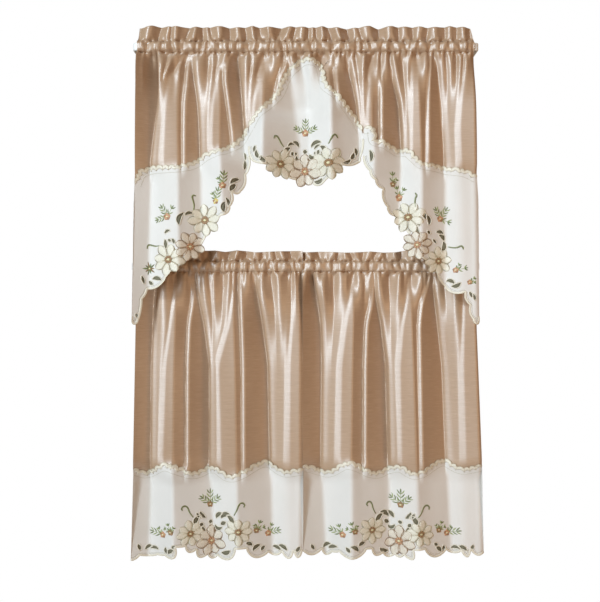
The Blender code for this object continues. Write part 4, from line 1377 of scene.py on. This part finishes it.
def hem_edge(work, path, side):
    """A broad band of satin stitch along a hem, broken where petals stand out from it."""
    edge = evenly(path, 1.8)
    inward = -left_of(smooth(edge, 2)) * side
    soft = evenly(smooth(evenly(path, 2.0), 8), 3.0)
    inner = soft - left_of(soft) * side * HEM_LINE
    for part in runs_outside(edge, work.petals):
        for inset, half_width, height, colour in HEM_BANDS:
            work.thread((edge + inward * inset)[part], half_width, height, colour)
    for part in runs_outside(inner, work.petals):
        work.thread(inner[part], 0.55, 0.5, "line")
    return edge


# ---------------------------------------------------------------- materials
def node(tree, kind, **values):
    """A new node with its settings, or the values of its sockets."""
    made = tree.nodes.new(kind)
    for name, value in values.items():
        if hasattr(made, name):
            setattr(made, name, value)
        else:
            made.inputs[name.replace("_", " ")].default_value = value
    return made


def new_material(name):
    """A new material, its node tree and its shader."""
    material = bpy.data.materials.new(name)
    material.use_nodes = True
    tree = material.node_tree
    shader = tree.nodes["Principled BSDF"]
    return material, tree, shader


def scaled_uv(tree, across, down):
    """The cloth's own UV, in metres of cloth, times a number of repeats a metre."""
    uv = node(tree, "ShaderNodeUVMap", uv_map="cloth")
    mapping = node(tree, "ShaderNodeMapping")
    mapping.inputs["Scale"].default_value = (across, down, 1.0)
    tree.links.new(uv.outputs["UV"], mapping.inputs["Vector"])
    return mapping.outputs["Vector"]


def noise(tree, vector, detail, scale=1.0):
    """Cloudy noise from 0 to 1."""
    made = node(tree, "ShaderNodeTexNoise")
    made.inputs["Scale"].default_value = scale
    made.inputs["Detail"].default_value = detail
    tree.links.new(vector, made.inputs["Vector"])
    return made.outputs["Fac"]


def ramp(tree, factor, stops):
    """Colours at the places of a factor, blended between."""
    made = node(tree, "ShaderNodeValToRGB")
    elements = made.color_ramp.elements
    while len(elements) < len(stops):
        elements.new(0.5)
    for element, (place, colour) in zip(elements, stops):
        element.position = place
        element.color = (*colour, 1.0)
    tree.links.new(factor, made.inputs["Fac"])
    return made.outputs["Color"]


def mixed(tree, factor, first, second, kind):
    """Two colours mixed: each value is a socket, a number or a colour."""
    made = node(tree, "ShaderNodeMix", data_type="RGBA", blend_type=kind)
    for socket, value in ((made.inputs["Factor"], factor), (made.inputs[6], first),
                          (made.inputs[7], second)):
        if isinstance(value, bpy.types.NodeSocket):
            tree.links.new(value, socket)
        elif isinstance(value, (int, float)):
            socket.default_value = value
        else:
            socket.default_value = (*value, 1.0)
    return made.outputs[2]


def bumped(tree, height, strength, distance, before=None):
    """A normal roughened by a height, on top of the one before."""
    made = node(tree, "ShaderNodeBump")
    made.inputs["Strength"].default_value = strength
    made.inputs["Distance"].default_value = distance
    tree.links.new(height, made.inputs["Height"])
    if before is not None:
        tree.links.new(before, made.inputs["Normal"])
    return made.outputs["Normal"]


def satin_material():
    material, tree, shader = new_material("tan_satin")
    slubs = noise(tree, scaled_uv(tree, 26.0, 620.0), 3.0)
    bands = noise(tree, scaled_uv(tree, 5.0, 150.0), 2.0)
    warp = noise(tree, scaled_uv(tree, 1500.0, 60.0), 1.0)
    colour = ramp(tree, slubs, [(0.30, (0.386, 0.250, 0.150)), (0.55, (0.428, 0.283, 0.177)),
                                (0.78, (0.490, 0.344, 0.234))])
    shade = ramp(tree, bands, [(0.35, (0.97, 0.965, 0.96)), (0.65, (1.02, 1.02, 1.02))])
    colour = mixed(tree, 1.0, colour, shade, "MULTIPLY")
    tree.links.new(colour, shader.inputs["Base Color"])
    rough = ramp(tree, slubs, [(0.3, (0.46, 0.46, 0.46)), (0.7, (0.38, 0.38, 0.38))])
    tree.links.new(rough, shader.inputs["Roughness"])
    normal = bumped(tree, warp, 0.12, 0.0002)
    normal = bumped(tree, slubs, 0.22, 0.0005, normal)
    normal = bumped(tree, bands, 0.08, 0.0010, normal)
    tree.links.new(normal, shader.inputs["Normal"])
    shader.inputs["Specular IOR Level"].default_value = 1.0
    shader.inputs["IOR"].default_value = 1.65
    shader.inputs["Sheen Weight"].default_value = 0.10
    shader.inputs["Sheen Roughness"].default_value = 0.4
    shader.inputs["Sheen Tint"].default_value = (0.95, 0.85, 0.78, 1.0)
    return material


def tan_thread_material():
    material, tree, shader = new_material("tan_thread")
    place = node(tree, "ShaderNodeTexCoord").outputs["Object"]
    cloud = noise(tree, place, 2.0, 900.0)
    colour = ramp(tree, cloud, [(0.3, (0.36, 0.24, 0.15)), (0.7, (0.50, 0.36, 0.25))])
    tree.links.new(colour, shader.inputs["Base Color"])
    shader.inputs["Roughness"].default_value = 0.5
    tree.links.new(bumped(tree, cloud, 0.4, 0.0002), shader.inputs["Normal"])
    return material


def white_material():
    material, tree, shader = new_material("white_cloth")
    across = noise(tree, scaled_uv(tree, 60.0, 1600.0), 1.0)
    down = noise(tree, scaled_uv(tree, 1600.0, 60.0), 1.0)
    soft = noise(tree, scaled_uv(tree, 9.0, 9.0), 3.0)
    colour = ramp(tree, soft, [(0.3, (0.672, 0.645, 0.605)), (0.7, (0.704, 0.672, 0.635))])
    tree.links.new(colour, shader.inputs["Base Color"])
    shader.inputs["Roughness"].default_value = 0.72
    shader.inputs["Sheen Weight"].default_value = 0.15
    shader.inputs["Sheen Roughness"].default_value = 0.5
    normal = bumped(tree, across, 0.35, 0.0002)
    normal = bumped(tree, down, 0.35, 0.0002, normal)
    tree.links.new(normal, shader.inputs["Normal"])
    return material


def thread_material():
    material, tree, shader = new_material("embroidery_thread")
    colour = node(tree, "ShaderNodeVertexColor", layer_name="thread").outputs["Color"]
    strands = noise(tree, scaled_uv(tree, 1700.0, 90.0), 1.0)
    shade = ramp(tree, strands, [(0.3, (0.80, 0.80, 0.80)), (0.7, (1.06, 1.06, 1.06))])
    tree.links.new(mixed(tree, 1.0, colour, shade, "MULTIPLY"), shader.inputs["Base Color"])
    shader.inputs["Roughness"].default_value = 0.45
    shader.inputs["Sheen Weight"].default_value = 0.2
    tree.links.new(bumped(tree, strands, 0.5, 0.0003), shader.inputs["Normal"])
    return material


def net_material():
    material, tree, shader = new_material("dark_net")
    grid = noise(tree, scaled_uv(tree, 900.0, 900.0), 1.0)
    colour = ramp(tree, grid, [(0.35, (0.11, 0.10, 0.062)), (0.65, (0.23, 0.21, 0.135))])
    tree.links.new(colour, shader.inputs["Base Color"])
    shader.inputs["Roughness"].default_value = 0.85
    tree.links.new(bumped(tree, grid, 0.6, 0.0003), shader.inputs["Normal"])
    return material


def rod_material():
    material, tree, shader = new_material("rod_enamel")
    place = node(tree, "ShaderNodeTexCoord").outputs["Object"]
    cloud = noise(tree, place, 3.0, 40.0)
    colour = ramp(tree, cloud, [(0.3, (0.80, 0.80, 0.79)), (0.7, (0.85, 0.85, 0.84))])
    tree.links.new(colour, shader.inputs["Base Color"])
    rough = ramp(tree, cloud, [(0.3, (0.28, 0.28, 0.28)), (0.7, (0.38, 0.38, 0.38))])
    tree.links.new(rough, shader.inputs["Roughness"])
    tree.links.new(bumped(tree, noise(tree, place, 2.0, 260.0), 0.08, 0.0004),
                   shader.inputs["Normal"])
    shader.inputs["Coat Weight"].default_value = 0.3
    return material


def floor_material():
    material, tree, shader = new_material("pale_floor")
    place = node(tree, "ShaderNodeTexCoord").outputs["Object"]
    colour = ramp(tree, noise(tree, place, 3.0, 2.0), [(0.3, (0.80, 0.80, 0.79)),
                                                      (0.7, (0.84, 0.84, 0.83))])
    tree.links.new(colour, shader.inputs["Base Color"])
    shader.inputs["Roughness"].default_value = 0.9
    return material


# ---------------------------------------------------------------- the set
def straight_path(points):
    """The points of a table as a path with straight runs."""
    return np.array([point[:2] for point in points], dtype=float)


def wavy_path(points):
    """The points of a table as a path with soft crests and dips."""
    x = np.arange(points[0][0], points[-1][0] + 0.5, 1.0)
    return np.column_stack([x, wavy(points, x)])


def clipped(path, drape):
    """A path across a whole cloth, run out to the cloth's side edges."""
    left, right = drape.side_edges(path[:, 1].mean())
    path = path[(path[:, 0] > left + 0.5) & (path[:, 0] < right - 0.5)]
    first = np.array([[left, path[0, 1]]])
    last = np.array([[right, path[-1, 1]]])
    return np.vstack([first, path, last])


def seam_heights(drape, grid, start, rounds, height_at):
    """Height at which each column of a satin's mesh meets the white cloth's upper edge."""
    threads = np.linspace(0.0, drape.cut_width, grid[0] + 1)
    seam = np.full(len(threads), start)
    for _ in range(rounds):
        seam = 0.5 * seam + 0.5 * height_at(drape.surface(threads, seam)[:, 0])
    return seam


def build_tier(side, edges, lines, top, hem, centre, mirror, seed, looks):
    """One tier: its satin, stitches, border, needlework and net, and the border's flat area."""
    drape = Drape(TIER_CUT, TIER_PLANE, TIER_ROD_Z, TIER_RUFFLE, edges, TIER_HEIGHTS, lines,
                  top, seed).hang(TIER_LOWEST)
    seam = seam_heights(drape, TIER_GRID, TIER_SEAM, TIER_SEAM_ROUNDS,
                        lambda x: wavy(top, x))
    satin = satin_piece(f"satin_tier_{side}", drape, seam, TIER_GRID, looks["satin"])
    rows = stitch_rows(f"satin_tier_{side}_stitches", drape, stitches)
    work = Needlework(drape)
    upper = scallop_edge(work, clipped(wavy_path(top), drape), 1, TIER_SCALLOP, seed)

    def place(x, z):
        return (centre[0] + mirror * x, centre[1] + z)

    work.motifs(TIER_FLOWERS, TIER_BUDS, TIER_TENDRILS, TIER_CUTS, place)
    lower = hem_edge(work, clipped(lobed(hem), drape), -1)
    outline = np.vstack([upper, lower[::-1]])
    border = white_piece(f"border_{side}", drape, outline, work.petals, work.holes,
                         looks["white"])
    stitched = work.piece(f"border_{side}_needlework", looks["thread"])
    net = work.net(f"border_{side}_net", looks["net"])
    return satin, rows, border, stitched, net, flat_area(drape, outline)


looks = {
    "satin": satin_material(),
    "tan thread": tan_thread_material(),
    "white": white_material(),
    "thread": thread_material(),
    "net": net_material(),
    "rod": rod_material(),
}


def declare(piece, slot, *nodes):
    """Puts a piece on the one body, in place of the nodes it stands for; slot is not used."""
    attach(piece, "root")
    if nodes:
        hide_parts(*nodes)


for name in ("valance_rod", "tier_rod"):
    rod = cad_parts[name]
    for material_slot in rod.material_slots:
        material_slot.material = looks["rod"]

stitches = stitch_tree(looks["tan thread"])
tiers = [
    ("left", LEFT_TIER_EDGES, LEFT_TIER_LINES,
     LEFT_BORDER_TOP, LEFT_BORDER_HEM, (-276.0, -1434.0), 1, 11),
    ("right", RIGHT_TIER_EDGES, RIGHT_TIER_LINES,
     RIGHT_BORDER_TOP, RIGHT_BORDER_HEM, (274.0, -1432.0), -1, 12),
]
for row in tiers:
    satin, rows, border, stitched, net, area = build_tier(*row, looks)
    side = row[0]
    declare(satin, "satin", f"tier_satin_{side}")
    declare(rows, "satin")
    declare(border, "white_cloth", f"tier_border_{side}")
    declare(stitched, "white_cloth")
    declare(net, "white_cloth")

seam_points = LEFT_SWAG_TOP + CENTRE_TOP + RIGHT_SWAG_TOP
valance = Drape(VALANCE_CUT, VALANCE_PLANE, 0.0, VALANCE_RUFFLE, VALANCE_EDGES,
                VALANCE_HEIGHTS, VALANCE_LINES, seam_points, 13).hang(VALANCE_LOWEST)
seam = seam_heights(valance, VALANCE_GRID, VALANCE_SEAM, VALANCE_SEAM_ROUNDS,
                    lambda x: np.interp(x, *zip(*seam_points)))
satin = satin_piece("satin_valance", valance, seam, VALANCE_GRID, looks["satin"])
rows = stitch_rows("satin_valance_stitches", valance, stitches)
declare(satin, "satin", "valance_satin")
declare(rows, "satin")

swags = [
    ("swag_left", "valance_swag_left", LEFT_SWAG_TOP, LEFT_SWAG_HEM,
     (LEFT_SWAG_FLOWERS, LEFT_SWAG_BUDS, LEFT_SWAG_TENDRILS, LEFT_SWAG_CUTS)),
    ("centre", "valance_centre", CENTRE_TOP, CENTRE_HEM,
     (CENTRE_FLOWERS, CENTRE_BUDS, CENTRE_TENDRILS, CENTRE_CUTS)),
    ("swag_right", "valance_swag_right", RIGHT_SWAG_TOP, RIGHT_SWAG_HEM,
     (RIGHT_SWAG_FLOWERS, RIGHT_SWAG_BUDS, RIGHT_SWAG_TENDRILS, RIGHT_SWAG_CUTS)),
]
for name, cad_node, top, hem, motifs in swags:
    work = Needlework(valance)
    upper = straight_path(top)
    lower = lobed(hem)
    # The outer ends of the swags run out to the valance's own side edges.
    if name == "swag_left":
        upper[0, 0] = valance.side_edges(-400.0)[0]
        lower[0, 0] = valance.side_edges(-776.0)[0]
    elif name == "swag_right":
        upper[-1, 0] = valance.side_edges(-376.0)[1]
        lower[-1, 0] = valance.side_edges(-776.0)[1]
    upper = scallop_edge(work, smooth(evenly(upper, 4.0), 3), 1, VALANCE_SCALLOP, len(name))
    work.motifs(*motifs)
    lower = hem_edge(work, lower, -1)
    outline = np.vstack([upper, lower[::-1]])
    white = white_piece(name, valance, outline, work.petals, work.holes, looks["white"])
    stitched = work.piece(f"{name}_needlework", looks["thread"])
    net = work.net(f"{name}_net", looks["net"])
    declare(white, "white_cloth", cad_node)
    declare(stitched, "white_cloth")
    declare(net, "white_cloth")
    flat_area(valance, outline)

# ---------------------------------------------------------------- floor, light and camera
FLOOR_Z = -2.0              # all places in this part are in metres
FLOOR_SIZE = (5.0, 4.0)
FLOOR_FORWARD = 0.9         # its middle in front of the wall
CAMERA_PLACE = (-0.0165, -3.052, -0.732)
LENS = 60.72

bpy.ops.mesh.primitive_grid_add(x_subdivisions=4, y_subdivisions=4, size=1.0)
floor = bpy.context.object
floor.name = "floor"
floor.data.transform(Matrix.Diagonal((*FLOOR_SIZE, 1.0, 1.0)))
for vertex in floor.data.vertices:
    vertex.co.z = FLOOR_Z
    vertex.co.y -= FLOOR_FORWARD
floor.data.materials.append(floor_material())


def area_light(name, place, aim, size, power, colour, spread=180.0):
    """A rectangular light of a size in metres, its power in watts and its spread in degrees."""
    light = bpy.data.lights.new(name, "AREA")
    light.shape = "RECTANGLE"
    light.size, light.size_y = size
    light.energy = power
    light.color = colour
    light.spread = math.radians(spread)
    lamp = bpy.data.objects.new(name, light)
    lamp.location = place
    direction = Vector(aim) - Vector(place)
    lamp.rotation_euler = direction.to_track_quat("-Z", "Y").to_euler()
    bpy.context.scene.collection.objects.link(lamp)


COOL = (0.79, 0.93, 1.04)
WARM = (1.0, 0.56, 0.28)
ROOM = (1.0, 0.76, 0.53, 1.0)       # the light of the room, which comes from all round
ROOM_STRENGTH = 0.26
area_light("tall_key", (-3.7, -4.2, -0.62), (0.5, 0.0, -0.75), (0.64, 4.2), 45.5, COOL, 80.0)
area_light("high_key", (-3.0, -4.1, 2.0), (0.5, 0.0, -0.75), (0.8, 0.8), 29.0, COOL, 80.0)
area_light("warm_fill", (2.3, -2.5, -0.62), (0.0, 0.0, -0.75), (1.4, 2.4), 20.0, WARM)

world = bpy.data.worlds.new("studio")
bpy.context.scene.world = world
world.use_nodes = True
tree = world.node_tree
backdrop = tree.nodes["Background"]
backdrop.inputs["Color"].default_value = ROOM
backdrop.inputs["Strength"].default_value = ROOM_STRENGTH
seen = tree.nodes.new("ShaderNodeBackground")
seen.inputs["Color"].default_value = (1.0, 1.0, 1.0, 1.0)
rays = tree.nodes.new("ShaderNodeLightPath")
choice = tree.nodes.new("ShaderNodeMixShader")
tree.links.new(rays.outputs["Is Camera Ray"], choice.inputs["Fac"])
tree.links.new(backdrop.outputs["Background"], choice.inputs[1])
tree.links.new(seen.outputs["Background"], choice.inputs[2])
tree.links.new(choice.outputs["Shader"], tree.nodes["World Output"].inputs["Surface"])

camera_data = bpy.data.cameras.new("camera")
camera_data.lens = LENS
camera_data.sensor_width = 36.0
camera = bpy.data.objects.new("camera", camera_data)
camera.location = CAMERA_PLACE
camera.rotation_euler = (math.pi / 2, 0.0, 0.0)
bpy.context.scene.collection.objects.link(camera)
bpy.context.scene.camera = camera
bpy.context.scene.view_settings.view_transform = "Standard"
